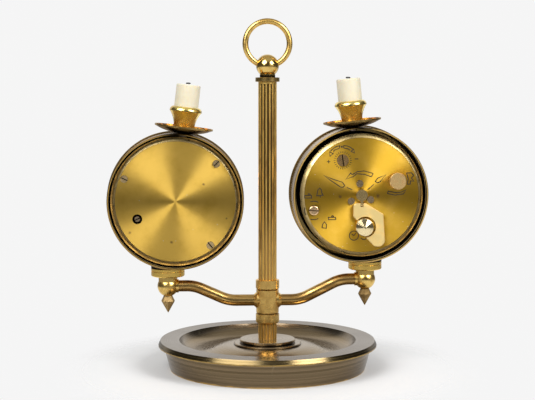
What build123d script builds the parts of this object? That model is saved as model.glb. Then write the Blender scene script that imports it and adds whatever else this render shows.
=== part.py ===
"""Barometer clock: a brass desk stand with an aneroid barometer and an alarm clock on two arms.

Millimetres. The origin is the centre of the foot on the desk, +Z up. The dials face +Y, so the
backs of both drums face -Y, the barometer is on the -X side and the clock on the +X side.
"""

import os
from math import atan2, cos, degrees, hypot, pi, radians, sin
from types import SimpleNamespace

from build123d import *

os.makedirs("parts", exist_ok=True)

# Fits shared by all pieces
running_gap = 0.05      # radial clearance of a shaft that turns in its hole
thrust_gap = 0.1        # between faces that turn on each other
seat_gap = 0.1          # round a glass, dial or plate in its case
overrun = 1.0           # how far a cutter reaches past what it cuts

# Base
base_height = 18.8
base_wall = 2.4
rim_radius = 71.6
rim_bevel = 2.7
rim_bevel_width = 1.3
rim_land = 0.7
rim_flat_width = 12.8
rim_overhang = 3.6
dish_lip = 0.9
dish_trough_share = 0.5352113   # how far the trough lies from the hub's step to the dish's lip
dish_trough_height = 11.6
skirt_hollow = 1.4
skirt_mid_height = 9.8
foot_inset = 4.0
rim_flat_radius = rim_radius - rim_bevel_width
dish_radius = rim_flat_radius - rim_flat_width
skirt_top_radius = rim_radius - rim_overhang
skirt_mid_radius = skirt_top_radius - skirt_hollow
foot_radius = skirt_top_radius - foot_inset
felt_thickness = 1.6
felt_rebate = 1.4

# Hub plate on the base
hub_seat_height = 15.6
hub_step_radius = 22.0
hub_step_height = 1.2
hub_groove_radius = 17.6
hub_groove_height = 0.9
hub_disc_radius = 18.3
hub_disc_height = 1.4
hub_edge = 0.4

# Tie rod and its nut under the base
rod_radius = 3.0
nut_across_flats = 10.0
nut_height = 5.0
washer_radius = 9.0
washer_thickness = 1.2
rod_tail = 1.6

# Fluted column
column_radius = 6.0
column_bore_radius = 4.2
flute_count = 16
flute_radius = 0.85
flute_depth = 0.6
flute_land = 1.2
spigot_share = 0.3809524        # of the lower column's length

# Collars and the sleeve that carries the arms
collar_radius = 7.7
collar_length = 6.5
collar_chamfer = 0.5
collar_foot_chamfer = 0.9
sleeve_radius = 7.4
sleeve_length = 15.9
sleeve_drop = 8.5       # from the arms' middle to the sleeve's lower end

# Top of the column
capital_radius = 7.85
capital_bottom = 187.3
capital_thickness = 2.9
top_ball_radius = 7.35
top_ball_rise = 7.5
top_ball_neck_radius = 5.0
ring_radius = 14.3
ring_wire_radius = 1.9

# Arms
arm_radius = 3.75
arm_height = 44.7
arm_bend_radius = 24.0
arm_socket_radius = 5.4
boss_radius = 4.3
boss_reach = 8.9
boss_chamfer = 0.6
boss_flare_radius = 5.3
boss_flare_reach = 7.2

# Ball ends and what hangs below them
ball_radius = 6.85
ball_boss_radius = 4.4
ball_boss_reach = 6.9
ball_socket_depth = 1.6
ball_neck_radius = 6.1
ball_neck_height = 6.6
ball_bottom_flat = 6.3
stud_radius = 2.0
finial_top_radius = 2.85
finial_radius = 4.45
finial_shoulder = 3.4
finial_height = 11.0
finial_point_radius = 0.2
finial_sides = 8
finial_thread_depth = 5.5

# Saddle between ball and drum
saddle_radius = 10.9
saddle_seat = 5.5
saddle_chamfer = 0.5
saddle_groove_height = 3.2
saddle_groove_width = 0.5
saddle_groove_depth = 0.7

# Drum and insert, depths counted from the middle of the drum
drum_radius = 44.0
drum_wall = 1.0
drum_half_depth = 12.0
drum_edge = 0.45
case_wall = 0.7
case_recess = 3.5
case_shoulder = 2.7
case_bevel = 1.4
case_flange_width = 1.0
case_flange_thickness = 0.6
plate_gap = 0.2
plate_thickness = 0.8
plate_sink = 0.2
ledge_thickness = 0.8
ledge_width = 4.0
bezel_overhang = 1.0
bezel_height = 4.3
bezel_lip_width = 2.0
bezel_lip_height = 0.6
bezel_crown_inset = 3.4
glass_inset = 3.4
glass_thickness = 1.6
glass_height = 2.4
dial_height = 2.5
dial_thickness = 0.6

# Candle stack on the drum
pan_radius = 18.9
pan_seat_radius = 6.0
pan_thickness = 0.9
pan_rim_height = 4.7
pan_edge_height = 1.1
pan_bow = 0.6
cup_base_radius = 6.8
cup_straight_height = 4.5
cup_lip_radius = 10.4
cup_lip_height = 14.2
cup_lip_land = 0.3
cup_mouth_radius = 8.5
cup_top_height = 17.2
cup_bore_radius = 5.6
cup_bore_floor = 5.0
candle_seat_height = 12.4
candle_radius = 7.8
candle_top_height = 31.7
candle_edge = 0.5
candle_tenon_height = 6.0
candle_screw_radius = 1.5
candle_screw_head_radius = 2.6
candle_screw_head_height = 1.2

# Plate screws and the barometer's adjusting screw
plate_screw_head_radius = 2.4
plate_screw_head_height = 0.8
plate_screw_radius = 1.0
plate_screw_length = 3.0
plate_screw_inset = 8.0
plate_screw_angles = (155.7, 42.7, -51.7)
slot_width = 0.7
slot_depth = 0.45
adjuster_share = 0.6136364      # of the drum's radius
adjuster_angle = 204.4
adjuster_hole_radius = 3.2
adjuster_head_radius = 1.75
adjuster_head_height = 1.2
adjuster_head_sink = 0.6
adjuster_radius = 1.0
adjuster_length = 5.5

# Aneroid movement, heights in front of its plate
movement_plate_thickness = 1.2
capsule_clearance = 3.5
capsule_thickness = 5.2
capsule_ridges = 3
capsule_ridge_height = 0.6
capsule_post_radius = 3.0
capsule_post_height = 1.2
spring_thickness = 0.9
spring_width = 12.0
spring_bend_inset = 5.5
spring_tip_reach = 4.0
spring_foot_length = 4.0
bridge_thickness = 1.0
bridge_gap = 0.9
bridge_width = 7.0
bridge_clearance = 6.0
bridge_post_radius = 2.2
bridge_end = 3.2
needle_arbor_radius = 0.7

# Hands
hand_thickness = 0.3
needle_length = 31.0
needle_tail = 12.0
needle_width = 1.5
needle_height = 1.1
marker_height = 2.0
marker_length = 29.0
marker_tail = 9.0
marker_width = 1.1
marker_knob_radius = 3.2
marker_knob_height = 3.0
marker_knob_stand = 0.4
minute_hand_length = 31.0
minute_hand_width = 2.4
minute_hand_height = 1.7
hour_hand_length = 21.0
hour_hand_width = 3.0
hour_hand_height = 1.0
alarm_hand_length = 13.0
alarm_hand_width = 1.6
alarm_hand_height = 0.4
hand_boss_radius = 2.6
time_shown_hours = 10.0
time_shown_minutes = 9.0
alarm_shown_hours = 7.0
needle_shown_angle = -18.0
marker_shown_angle = 24.0

# Clock movement
front_plate_radius = 30.0
front_plate_thickness = 1.0
front_plate_height = -5.0
pillar_radius = 1.8
pillar_reach = 26.0
pillar_count = 4
barrel_radius = 14.0
barrel_height = 6.0
barrel_stand = 0.5
winding_arbor_radius = 1.5
winding_arbor_nose = 0.6
arbor_radius = 0.8
arbor_pivot_radius = 0.5
arbor_pivot_length = 0.9
pipe_wall = 0.45
wheel_thickness = 0.6
pinion_thickness = 0.9
motion_distance = 8.0
motion_angle = 180.0
cannon_teeth = 10
minute_wheel_teeth = 30
minute_pinion_teeth = 8
hour_wheel_teeth = 32
setting_pinion_teeth = 16
setting_wheel_teeth = 48
alarm_pinion_teeth = 24
alarm_wheel_teeth = 48
tooth_addendum_share = 0.8
tooth_root_share = 1.1
tooth_width_shares = (0.30, 0.21, 0.09)

# Controls on the clock's back, seen from behind: right and up of the drum's centre
centre_head_radius = 3.7
centre_head_height = 1.9
round_head_radius = 2.3
round_head_height = 0.9
round_head_places = ((-1.3, 7.5), (-6.8, -3.9), (5.8, -2.9))
regulator_shares = (-0.2818182, 0.5136364)  # of the drum's radius
regulator_place = tuple(share * drum_radius for share in regulator_shares)
regulator_radius = 3.85
regulator_height = 0.8
regulator_shaft_radius = 1.2
regulator_shaft_length = 3.0
alarm_knob_place = (22.9, 9.3)
alarm_knob_radius = 5.45
alarm_knob_height = 5.0
alarm_knob_stand = 1.0
alarm_shaft_radius = 1.4
button_shares = (-0.7090909, -0.2227273)    # of the drum's radius
button_place = tuple(share * drum_radius for share in button_shares)
button_radius = 3.25
button_height = 1.8
button_stand = 0.2
button_shaft_radius = 1.2
button_shaft_length = 7.0
button_travel = 2.5
time_knob_place = (1.6, -20.6)
time_knob_radius = 5.8
time_knob_height = 6.0
time_knob_stand = 1.4
time_knob_cone = 1.7
time_shaft_radius = 1.3
knob_edge = 0.8
regulator_slot_angle = 98.0
button_slot_angle = -5.0

# Folding winding key
key_thickness = 1.8
key_edge = 0.35
key_hinge_drop = 6.2
key_hinge_height = 1.9
key_knuckle_radius = 0.9
key_pin_radius = 0.5
key_lug_half_width = 0.9
key_knuckle_half_width = 3.0
key_notch_half_width = 1.05
key_notch_depth = 1.2
key_cutout_place = (2.2, -20.6)
key_cutout_radius = 6.85
key_corners = (
    (-3.9, -16.0), (-5.8, -13.4), (-5.6, -5.1), (2.2, -5.1), (14.0, -12.2),
    (15.4, -33.5), (8.2, -33.5), (3.0, -28.1), (2.2, -19.0),
)
key_corner_radii = (0.8, 1.5, 2.6, 1.5, 1.6, 4.3, 3.0, 0.6, 0.8)

# Each side of the stand: its ball, its drum's lean, the gap round its case, its arm's bends
barometer_ball_distance = 65.1
barometer_ball_height = 54.5
barometer_lean_angle = 6.8
barometer_case_gap = 1.3
barometer_inner_bend = 25.6
barometer_outer_bend = 47.8
clock_ball_distance = 64.2
clock_ball_height = 58.1
clock_lean_angle = 5.6
clock_case_gap = 2.9
clock_insert_shift = 0.8
clock_inner_bend = 21.2
clock_outer_bend = 48.1
sides = {
    "barometer": SimpleNamespace(
        way=-1, reach=barometer_ball_distance, ball_height=barometer_ball_height,
        lean=barometer_lean_angle, case_gap=barometer_case_gap, shift=0,
        inner_bend=barometer_inner_bend, outer_bend=barometer_outer_bend),
    "clock": SimpleNamespace(
        way=1, reach=clock_ball_distance, ball_height=clock_ball_height,
        lean=clock_lean_angle, case_gap=clock_case_gap, shift=clock_insert_shift,
        inner_bend=clock_inner_bend, outer_bend=clock_outer_bend),
}


# Derived places
for side in sides.values():
    side.case_radius = drum_radius - drum_wall - side.case_gap
    side.shoulder_radius = side.case_radius - case_shoulder
    side.plate_radius = side.shoulder_radius - plate_gap
    side.dial_radius = side.case_radius - case_wall - seat_gap
bezel_radius = drum_radius + bezel_overhang
glass_radius = drum_radius - drum_wall - glass_inset
bezel_lip_radius = glass_radius - bezel_lip_width
bezel_crown_radius = bezel_radius - bezel_crown_inset
dish_trough_radius = hub_step_radius + dish_trough_share * (dish_radius - hub_step_radius)
rod_bottom = hub_seat_height - base_wall - washer_thickness - nut_height - rod_tail
hub_top = hub_seat_height + hub_step_height + hub_groove_height + hub_disc_height
sleeve_bottom = arm_height - sleeve_drop
lower_collar_bottom = sleeve_bottom - thrust_gap - collar_length
spigot_length = spigot_share * (lower_collar_bottom - hub_top)
sleeve_top = sleeve_bottom + sleeve_length
upper_collar_bottom = sleeve_top + thrust_gap
upper_collar_top = upper_collar_bottom + collar_length - collar_chamfer
capital_top = capital_bottom + capital_thickness
top_ball_height = capital_top + top_ball_rise
shoulder_height = drum_half_depth - case_recess
plate_top = shoulder_height - plate_sink
plate_bottom = plate_top - plate_thickness
ledge_bottom = plate_bottom - ledge_thickness
movement_top = ledge_bottom
movement_bottom = movement_top - movement_plate_thickness
dial_front = -drum_half_depth + dial_height - dial_thickness
dial_back = dial_front + dial_thickness
glass_back = -drum_half_depth - glass_height + glass_thickness


def write(piece, name):
    """Labels a finished piece and writes it as its own file."""
    piece.part.label = name
    export_step(piece.part, f"parts/{name}.step")


def lathe_plane(plane):
    """Plane of a turned profile: x is the radius, y runs along the axis of the plane given."""
    return Plane(origin=plane.origin, x_dir=plane.x_dir, z_dir=-plane.y_dir)


def turn(plane, *outline, mode=Mode.ADD):
    """Turns the closed outline of (radius, height) points about the plane's axis."""
    with BuildSketch(lathe_plane(plane)) as profile:
        with BuildLine():
            Polyline(*outline, close=True)
        make_face()
    revolve(profile.sketch, axis=Axis(plane.origin, plane.z_dir), mode=mode)


def rod(plane, radius, bottom, top, place=(0, 0), mode=Mode.ADD):
    """A round bar on the plane's axis, or at a place on the plane, between two heights."""
    with BuildSketch(plane.offset(bottom)) as section:
        with Locations(place):
            Circle(radius)
    extrude(section.sketch, amount=top - bottom, mode=mode)


def tube(plane, radius, bore, bottom, top):
    """A round bar with a round hole along it."""
    with BuildSketch(plane.offset(bottom)) as section:
        Circle(radius)
        Circle(bore, mode=Mode.SUBTRACT)
    extrude(section.sketch, amount=top - bottom)


def spun(plane, angle):
    """The plane turned about its own axis by an angle in degrees."""
    x_dir = plane.x_dir * cos(radians(angle)) + plane.y_dir * sin(radians(angle))
    return Plane(origin=plane.origin, x_dir=x_dir, z_dir=plane.z_dir)


def slot(plane, radius, top, place=(0, 0), angle=0.0):
    """Cuts a screwdriver slot across a head whose top is at the height given."""
    with BuildSketch(plane.offset(top - slot_depth)) as cut:
        with Locations(Location((*place, 0), angle)):
            Rectangle(2 * (radius + overrun), slot_width)
    extrude(cut.sketch, amount=slot_depth + overrun, mode=Mode.SUBTRACT)


def polar(reach, angle):
    """Place on a plane at a distance and an angle in degrees."""
    return (reach * cos(radians(angle)), reach * sin(radians(angle)))


def gear_outline(module, teeth, first_angle=0.0):
    """Points of a spur gear, one tooth centred on first_angle, flanks drawn through three widths."""
    pitch_radius = module * teeth / 2
    radii = (
        pitch_radius - tooth_root_share * module,
        pitch_radius,
        pitch_radius + tooth_addendum_share * module,
    )
    points = []
    for tooth in range(teeth):
        middle = first_angle + tooth * 360 / teeth
        halves = [degrees(share * pi * module / radius)
                  for share, radius in zip(tooth_width_shares, radii)]
        points += [polar(radius, middle - half) for radius, half in zip(radii, halves)]
        points += [polar(radius, middle + half) for radius, half in zip(radii[::-1], halves[::-1])]
    return points


def gear(plane, module, teeth, bore, bottom, top, first_angle=0.0):
    """A spur gear with a round bore between two heights."""
    with BuildSketch(plane.offset(bottom)) as section:
        with BuildLine():
            Polyline(*gear_outline(module, teeth, first_angle), close=True)
        make_face()
        if bore > 0:
            Circle(bore, mode=Mode.SUBTRACT)
    extrude(section.sketch, amount=top - bottom)


def hand(plane, length, tail, width, bottom, top, angle, bore=0.0):
    """A tapered hand with a round boss; its angle runs clockwise from the top of the dial."""
    turned = spun(plane, -angle)
    with BuildSketch(turned.offset(bottom)) as section:
        with BuildLine():
            Polyline(
                (-width / 4, -tail), (width / 4, -tail), (width / 2, 0),
                (width / 6, length), (-width / 6, length), (-width / 2, 0), close=True)
        make_face()
        Circle(hand_boss_radius if bore > 0 else width)
        if bore > 0:
            Circle(bore, mode=Mode.SUBTRACT)
    extrude(section.sketch, amount=top - bottom)


# Stand

with BuildPart() as base:
    with BuildSketch(Plane.XZ):
        with BuildLine():
            seat = (hub_step_radius + hub_edge, hub_seat_height)
            trough = (dish_trough_radius, dish_trough_height)
            lip = (dish_radius, base_height - dish_lip)
            skirt_inner = foot_radius - base_wall
            under_rim = base_height - rim_bevel - rim_land
            Polyline((0, hub_seat_height - base_wall), (0, hub_seat_height), seat)
            Spline(seat, trough, lip, tangents=((1, 0), (0.5, 1)))
            Line(lip, (dish_radius + dish_lip / 2, base_height))
            Polyline(
                (dish_radius + dish_lip / 2, base_height), (rim_flat_radius, base_height),
                (rim_radius, base_height - rim_bevel), (rim_radius, under_rim),
                (skirt_top_radius, under_rim))
            ThreePointArc(
                (skirt_top_radius, under_rim), (skirt_mid_radius, skirt_mid_height),
                (foot_radius, 0))
            Polyline(
                (foot_radius, 0), (skirt_inner, 0), (skirt_inner, felt_thickness),
                (skirt_inner - felt_rebate, felt_thickness),
                (skirt_mid_radius - base_wall, skirt_mid_height),
                (skirt_mid_radius - base_wall, under_rim - base_wall),
                (dish_radius, under_rim - base_wall),
                (dish_trough_radius, dish_trough_height - base_wall),
                (hub_step_radius, hub_seat_height - base_wall),
                (0, hub_seat_height - base_wall))
        make_face()
    revolve(axis=Axis.Z)
    rod(Plane.XY, rod_radius, 0, hub_seat_height + overrun, mode=Mode.SUBTRACT)
write(base, "base_dish")

with BuildPart() as felt:
    rod(Plane.XY, foot_radius - base_wall - seat_gap, 0, felt_thickness)
write(felt, "felt_pad")

with BuildPart() as nut:
    nut_top = hub_seat_height - base_wall
    tube(Plane.XY, washer_radius, rod_radius, nut_top - washer_thickness, nut_top)
    with BuildSketch(Plane.XY.offset(nut_top - washer_thickness - nut_height)):
        RegularPolygon(nut_across_flats / 2, 6, major_radius=False)
        Circle(rod_radius, mode=Mode.SUBTRACT)
    extrude(amount=nut_height)
write(nut, "base_nut")

with BuildPart() as hub:
    step_top = hub_seat_height + hub_step_height
    groove_top = step_top + hub_groove_height
    turn(
        Plane.XY,
        (rod_radius, hub_seat_height), (hub_step_radius, hub_seat_height),
        (hub_step_radius, step_top - hub_edge), (hub_step_radius - hub_edge, step_top),
        (hub_groove_radius, step_top), (hub_groove_radius, groove_top),
        (hub_disc_radius, groove_top), (hub_disc_radius, hub_top - hub_edge),
        (hub_disc_radius - hub_edge, hub_top), (column_bore_radius, hub_top),
        (column_bore_radius, hub_top + spigot_length), (rod_radius, hub_top + spigot_length))
write(hub, "hub_plate")


def fluted_tube(bottom, top, flute_bottom, flute_top):
    """A tube whose outside carries round flutes between two heights."""
    tube(Plane.XY, column_radius, column_bore_radius, bottom, top)
    with BuildSketch(Plane.XY.offset(flute_bottom)) as flutes:
        with PolarLocations(column_radius + flute_radius - flute_depth, flute_count):
            Circle(flute_radius)
    extrude(flutes.sketch, amount=flute_top - flute_bottom, mode=Mode.SUBTRACT)


with BuildPart() as column:
    fluted_tube(hub_top, lower_collar_bottom, hub_top - overrun, lower_collar_bottom + overrun)
    fluted_tube(upper_collar_top, capital_bottom,
                upper_collar_top - overrun, capital_bottom - flute_land)
write(column, "fluted_column")

with BuildPart() as tie:
    rod(Plane.XY, rod_radius, rod_bottom, top_ball_height - ring_wire_radius - rod_tail)
write(tie, "tie_rod")

with BuildPart() as collars:
    collar_top = lower_collar_bottom + collar_length
    turn(
        Plane.XY,
        (rod_radius, lower_collar_bottom - spigot_length),
        (column_bore_radius, lower_collar_bottom - spigot_length),
        (column_bore_radius, lower_collar_bottom),
        (collar_radius - collar_foot_chamfer, lower_collar_bottom),
        (collar_radius, lower_collar_bottom + collar_foot_chamfer),
        (collar_radius, collar_top - collar_chamfer),
        (collar_radius - collar_chamfer, collar_top), (rod_radius, collar_top))
    turn(
        Plane.XY,
        (rod_radius, upper_collar_bottom), (collar_radius - collar_chamfer, upper_collar_bottom),
        (collar_radius, upper_collar_bottom + collar_chamfer),
        (collar_radius, upper_collar_top - collar_chamfer / 2),
        (collar_radius - collar_chamfer / 2, upper_collar_top),
        (column_bore_radius, upper_collar_top),
        (column_bore_radius, upper_collar_top + spigot_length),
        (rod_radius, upper_collar_top + spigot_length))
write(collars, "column_collars")

with BuildPart() as capital:
    turn(
        Plane.XY,
        (rod_radius, capital_bottom - spigot_length),
        (column_bore_radius, capital_bottom - spigot_length), (column_bore_radius, capital_bottom),
        (capital_radius - collar_chamfer / 2, capital_bottom),
        (capital_radius, capital_bottom + collar_chamfer / 2),
        (capital_radius, capital_top - collar_chamfer / 2),
        (capital_radius - collar_chamfer / 2, capital_top), (rod_radius, capital_top))
write(capital, "capital_ring")

handle_centre = top_ball_height + ring_radius
handle_plane = Plane(origin=(0, 0, handle_centre), z_dir=(0, -1, 0))


def handle_wire(mode=Mode.ADD):
    """The closed round wire of the ring handle, which passes through the ball's centre."""
    with BuildSketch(Plane.XY.offset(handle_centre)) as wire:
        with Locations((ring_radius, 0)):
            Circle(ring_wire_radius)
    section = Plane.XY.offset(handle_centre)
    revolve(wire.sketch, axis=Axis(section.origin, (0, 1, 0)), mode=mode)


with BuildPart() as ball:
    with Locations((0, 0, top_ball_height)):
        Sphere(top_ball_radius)
    rod(Plane.XY, top_ball_neck_radius, capital_top, top_ball_height)
    rod(Plane.XY, rod_radius, capital_top - overrun,
        top_ball_height - ring_wire_radius - rod_tail, mode=Mode.SUBTRACT)
    handle_wire(mode=Mode.SUBTRACT)
write(ball, "top_ball")

with BuildPart() as handle:
    handle_wire()
write(handle, "handle_ring")


# Arms

with BuildPart() as sleeve:
    turn(
        Plane.XY,
        (rod_radius + running_gap, sleeve_bottom), (sleeve_radius - collar_chamfer, sleeve_bottom),
        (sleeve_radius, sleeve_bottom + collar_chamfer),
        (sleeve_radius, sleeve_top - collar_chamfer),
        (sleeve_radius - collar_chamfer, sleeve_top), (rod_radius + running_gap, sleeve_top))
    for way in (-1, 1):
        across = Plane(origin=(0, 0, arm_height), x_dir=(0, 1, 0), z_dir=(way, 0, 0))
        turn(
            across,
            (0, arm_socket_radius), (boss_flare_radius, arm_socket_radius),
            (boss_flare_radius, boss_flare_reach), (boss_radius, boss_reach - boss_chamfer),
            (arm_radius, boss_reach), (0, boss_reach))
        rod(across, arm_radius, arm_socket_radius, boss_reach + overrun, mode=Mode.SUBTRACT)
write(sleeve, "cross_sleeve")

for name, side in sides.items():
    ball_axis = side.way * side.reach
    arm_end = ball_axis - side.way * (ball_boss_reach - ball_socket_depth)
    with BuildPart() as arm:
        with BuildLine() as route:
            FilletPolyline(
                (side.way * arm_socket_radius, 0, arm_height),
                (side.way * side.inner_bend, 0, arm_height),
                (side.way * side.outer_bend, 0, side.ball_height),
                (arm_end, 0, side.ball_height), radius=arm_bend_radius)
        with BuildSketch(Plane(origin=route.line @ 0, z_dir=route.line % 0)):
            Circle(arm_radius)
        sweep(path=route.line)
    write(arm, f"{name}_arm")

with BuildPart() as arm_balls:
    for side in sides.values():
        ball_axis = side.way * side.reach
        stud_plane = Plane(origin=(ball_axis, 0, side.ball_height))
        inward = Plane(origin=stud_plane.origin, x_dir=(0, 1, 0), z_dir=(-side.way, 0, 0))
        with Locations(stud_plane.origin):
            Sphere(ball_radius)
        rod(stud_plane, ball_neck_radius, 0, ball_neck_height)
        rod(stud_plane, ball_radius, ball_neck_height, ball_radius + overrun, mode=Mode.SUBTRACT)
        rod(stud_plane, ball_radius, -ball_radius, -ball_bottom_flat, mode=Mode.SUBTRACT)
        rod(inward, ball_boss_radius, 0, ball_boss_reach)
        rod(inward, arm_radius, ball_boss_reach - ball_socket_depth, ball_boss_reach + overrun,
            mode=Mode.SUBTRACT)
        rod(stud_plane, stud_radius + running_gap, -ball_radius, ball_neck_height + overrun,
            mode=Mode.SUBTRACT)
write(arm_balls, "arm_balls")


# What both drums share

for name, side in sides.items():
    ball_axis = side.way * side.reach
    stud_plane = Plane(origin=(ball_axis, 0, side.ball_height))
    tilt = radians(-side.way * side.lean)
    up = Vector(sin(tilt), 0, cos(tilt))
    right = Vector(cos(tilt), 0, -sin(tilt))
    seat_height = side.ball_height + ball_neck_height + thrust_gap + saddle_seat
    middle = Vector(ball_axis, 0, seat_height) + up * drum_radius
    side.back = Plane(origin=middle, x_dir=(1, 0, 0), z_dir=(0, -1, 0))
    insert_middle = middle + Vector(side.shift, 0, 0)
    side.insert = Plane(origin=insert_middle, x_dir=(1, 0, 0), z_dir=(0, -1, 0))
    side.front = Plane(origin=insert_middle, x_dir=-right, z_dir=(0, 1, 0))
    side.top = Plane(origin=middle + up * drum_radius, x_dir=right, z_dir=up)
    back = side.back

    with BuildPart() as saddle:
        saddle_bottom = ball_neck_height + thrust_gap
        groove_bottom = saddle_bottom + saddle_groove_height
        finial_top = -ball_bottom_flat - thrust_gap
        turn(
            stud_plane,
            (0, saddle_bottom), (saddle_radius - saddle_chamfer, saddle_bottom),
            (saddle_radius, saddle_bottom + saddle_chamfer), (saddle_radius, groove_bottom),
            (saddle_radius - saddle_groove_depth, groove_bottom),
            (saddle_radius - saddle_groove_depth, groove_bottom + saddle_groove_width),
            (saddle_radius, groove_bottom + saddle_groove_width),
            (saddle_radius, saddle_bottom + 2 * saddle_seat), (0, saddle_bottom + 2 * saddle_seat))
        rod(back, drum_radius, -saddle_radius - overrun, saddle_radius + overrun,
            mode=Mode.SUBTRACT)
        rod(stud_plane, stud_radius, finial_top - finial_thread_depth, saddle_bottom)
    write(saddle, f"{name}_saddle")

    with BuildPart() as finial:
        for radius, drop in (
            (finial_top_radius, 0), (finial_radius, finial_shoulder),
        ):
            with BuildSketch(stud_plane.offset(finial_top - drop)):
                RegularPolygon(radius, finial_sides)
        loft(ruled=True)
        for radius, drop in (
            (finial_radius, finial_shoulder), (finial_point_radius, finial_height),
        ):
            with BuildSketch(stud_plane.offset(finial_top - drop)):
                RegularPolygon(radius, finial_sides)
        loft(ruled=True)
        rod(stud_plane, stud_radius, finial_top - finial_thread_depth, finial_top + overrun,
            mode=Mode.SUBTRACT)
    write(finial, f"{name}_finial")

    with BuildPart() as drum:
        inner = drum_radius - drum_wall
        turn(
            back,
            (inner, -drum_half_depth), (drum_radius, -drum_half_depth),
            (drum_radius, drum_half_depth - drum_edge),
            (drum_radius - drum_edge, drum_half_depth), (inner, drum_half_depth))
        rod(side.top, candle_screw_radius, -2 * drum_wall, overrun, mode=Mode.SUBTRACT)
    write(drum, f"{name}_drum")

    with BuildPart() as bezel:
        with BuildSketch(lathe_plane(back)) as profile:
            foot = -drum_half_depth
            with BuildLine():
                Polyline(
                    (bezel_radius, foot), (glass_radius + seat_gap, foot),
                    (glass_radius + seat_gap, foot - glass_height),
                    (bezel_lip_radius, foot - glass_height),
                    (bezel_lip_radius, foot - glass_height - bezel_lip_height),
                    (bezel_crown_radius, foot - bezel_height))
                ThreePointArc(
                    (bezel_crown_radius, foot - bezel_height),
                    ((bezel_crown_radius + 2 * bezel_radius) / 3, foot - 0.8 * bezel_height),
                    (bezel_radius, foot))
            make_face()
        revolve(profile.sketch, axis=Axis(back.origin, back.z_dir))
    write(bezel, f"{name}_bezel")

    with BuildPart() as case:
        case_inner = side.case_radius - case_wall
        ledge_radius = side.plate_radius - ledge_width
        flange_radius = side.case_radius + case_flange_width
        turn(
            side.insert,
            (side.shoulder_radius, shoulder_height), (side.shoulder_radius, plate_bottom),
            (ledge_radius, plate_bottom), (ledge_radius, ledge_bottom),
            (case_inner, ledge_bottom), (case_inner, -drum_half_depth),
            (flange_radius, -drum_half_depth),
            (flange_radius, case_flange_thickness - drum_half_depth),
            (side.case_radius, case_flange_thickness - drum_half_depth),
            (side.case_radius, shoulder_height - case_bevel))
    side.case = case

    with BuildPart() as glass:
        hole = needle_arbor_radius + running_gap if name == "barometer" else 0
        rod(back, glass_radius, -drum_half_depth - glass_height, glass_back)
        if hole:
            rod(back, hole, -drum_half_depth - glass_height - overrun, glass_back + overrun,
                mode=Mode.SUBTRACT)
    write(glass, f"{name}_glass")

    with BuildPart() as pan:
        edge_bottom = pan_rim_height - pan_edge_height
        pan_inner = pan_radius - pan_thickness
        seat_inner = pan_seat_radius + pan_thickness
        with BuildSketch(lathe_plane(side.top)) as profile:
            with BuildLine():
                Polyline((candle_screw_radius, pan_thickness), (candle_screw_radius, 0),
                         (pan_seat_radius, 0))
                ThreePointArc(
                    (pan_seat_radius, 0),
                    ((pan_seat_radius + pan_radius) / 2, edge_bottom / 2 - pan_bow),
                    (pan_radius, edge_bottom))
                Polyline((pan_radius, edge_bottom), (pan_radius, pan_rim_height),
                         (pan_inner, pan_rim_height), (pan_inner, edge_bottom))
                ThreePointArc(
                    (pan_inner, edge_bottom),
                    ((seat_inner + pan_inner) / 2, (pan_thickness + edge_bottom) / 2 - pan_bow),
                    (seat_inner, pan_thickness))
                Line((seat_inner, pan_thickness), (candle_screw_radius, pan_thickness))
            make_face()
        revolve(profile.sketch, axis=Axis(side.top.origin, side.top.z_dir))
    write(pan, f"{name}_pan")

    with BuildPart() as cup:
        with BuildSketch(lathe_plane(side.top)) as profile:
            with BuildLine():
                Polyline(
                    (cup_mouth_radius, cup_top_height), (candle_radius + seat_gap, cup_top_height),
                    (candle_radius + seat_gap, candle_seat_height),
                    (cup_bore_radius, candle_seat_height), (cup_bore_radius, cup_bore_floor),
                    (0, cup_bore_floor), (0, pan_thickness), (cup_base_radius, pan_thickness),
                    (cup_base_radius, cup_straight_height))
                ThreePointArc(
                    (cup_base_radius, cup_straight_height),
                    ((3 * cup_base_radius + cup_lip_radius) / 4,
                     (cup_straight_height + cup_lip_height) / 2),
                    (cup_lip_radius, cup_lip_height))
                Line((cup_lip_radius, cup_lip_height),
                     (cup_lip_radius, cup_lip_height + cup_lip_land))
                ThreePointArc(
                    (cup_lip_radius, cup_lip_height + cup_lip_land),
                    ((2 * cup_lip_radius + cup_mouth_radius) / 3,
                     (cup_lip_height + cup_lip_land + 2 * cup_top_height) / 3),
                    (cup_mouth_radius, cup_top_height))
            make_face()
        revolve(profile.sketch, axis=Axis(side.top.origin, side.top.z_dir))
        rod(side.top, candle_screw_radius, 0, cup_bore_floor - pan_thickness, mode=Mode.SUBTRACT)
    write(cup, f"{name}_cup")

    with BuildPart() as candle:
        turn(
            side.top,
            (0, candle_tenon_height), (cup_bore_radius - seat_gap, candle_tenon_height),
            (cup_bore_radius - seat_gap, candle_seat_height), (candle_radius, candle_seat_height),
            (candle_radius, candle_top_height - candle_edge),
            (candle_radius - candle_edge, candle_top_height), (0, candle_top_height))
    write(candle, f"{name}_candle")

    with BuildPart() as candle_screw:
        head_top = -drum_wall - seat_gap
        rod(side.top, candle_screw_head_radius, head_top - candle_screw_head_height, head_top)
        rod(side.top, candle_screw_radius, head_top, cup_bore_floor - pan_thickness)
    write(candle_screw, f"{name}_candle_screw")


# Barometer

barometer = sides["barometer"]
back = barometer.insert
front = barometer.front
screw_places = [
    polar(drum_radius - plate_screw_inset, angle) for angle in plate_screw_angles]
adjuster_reach = adjuster_share * drum_radius
spring_bend_reach = adjuster_reach - spring_bend_inset
spring_foot_reach = adjuster_reach + spring_foot_length
capsule_radius = spring_bend_reach - capsule_clearance
bridge_reach = capsule_radius + bridge_clearance
adjuster_place = polar(adjuster_reach, adjuster_angle)

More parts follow.
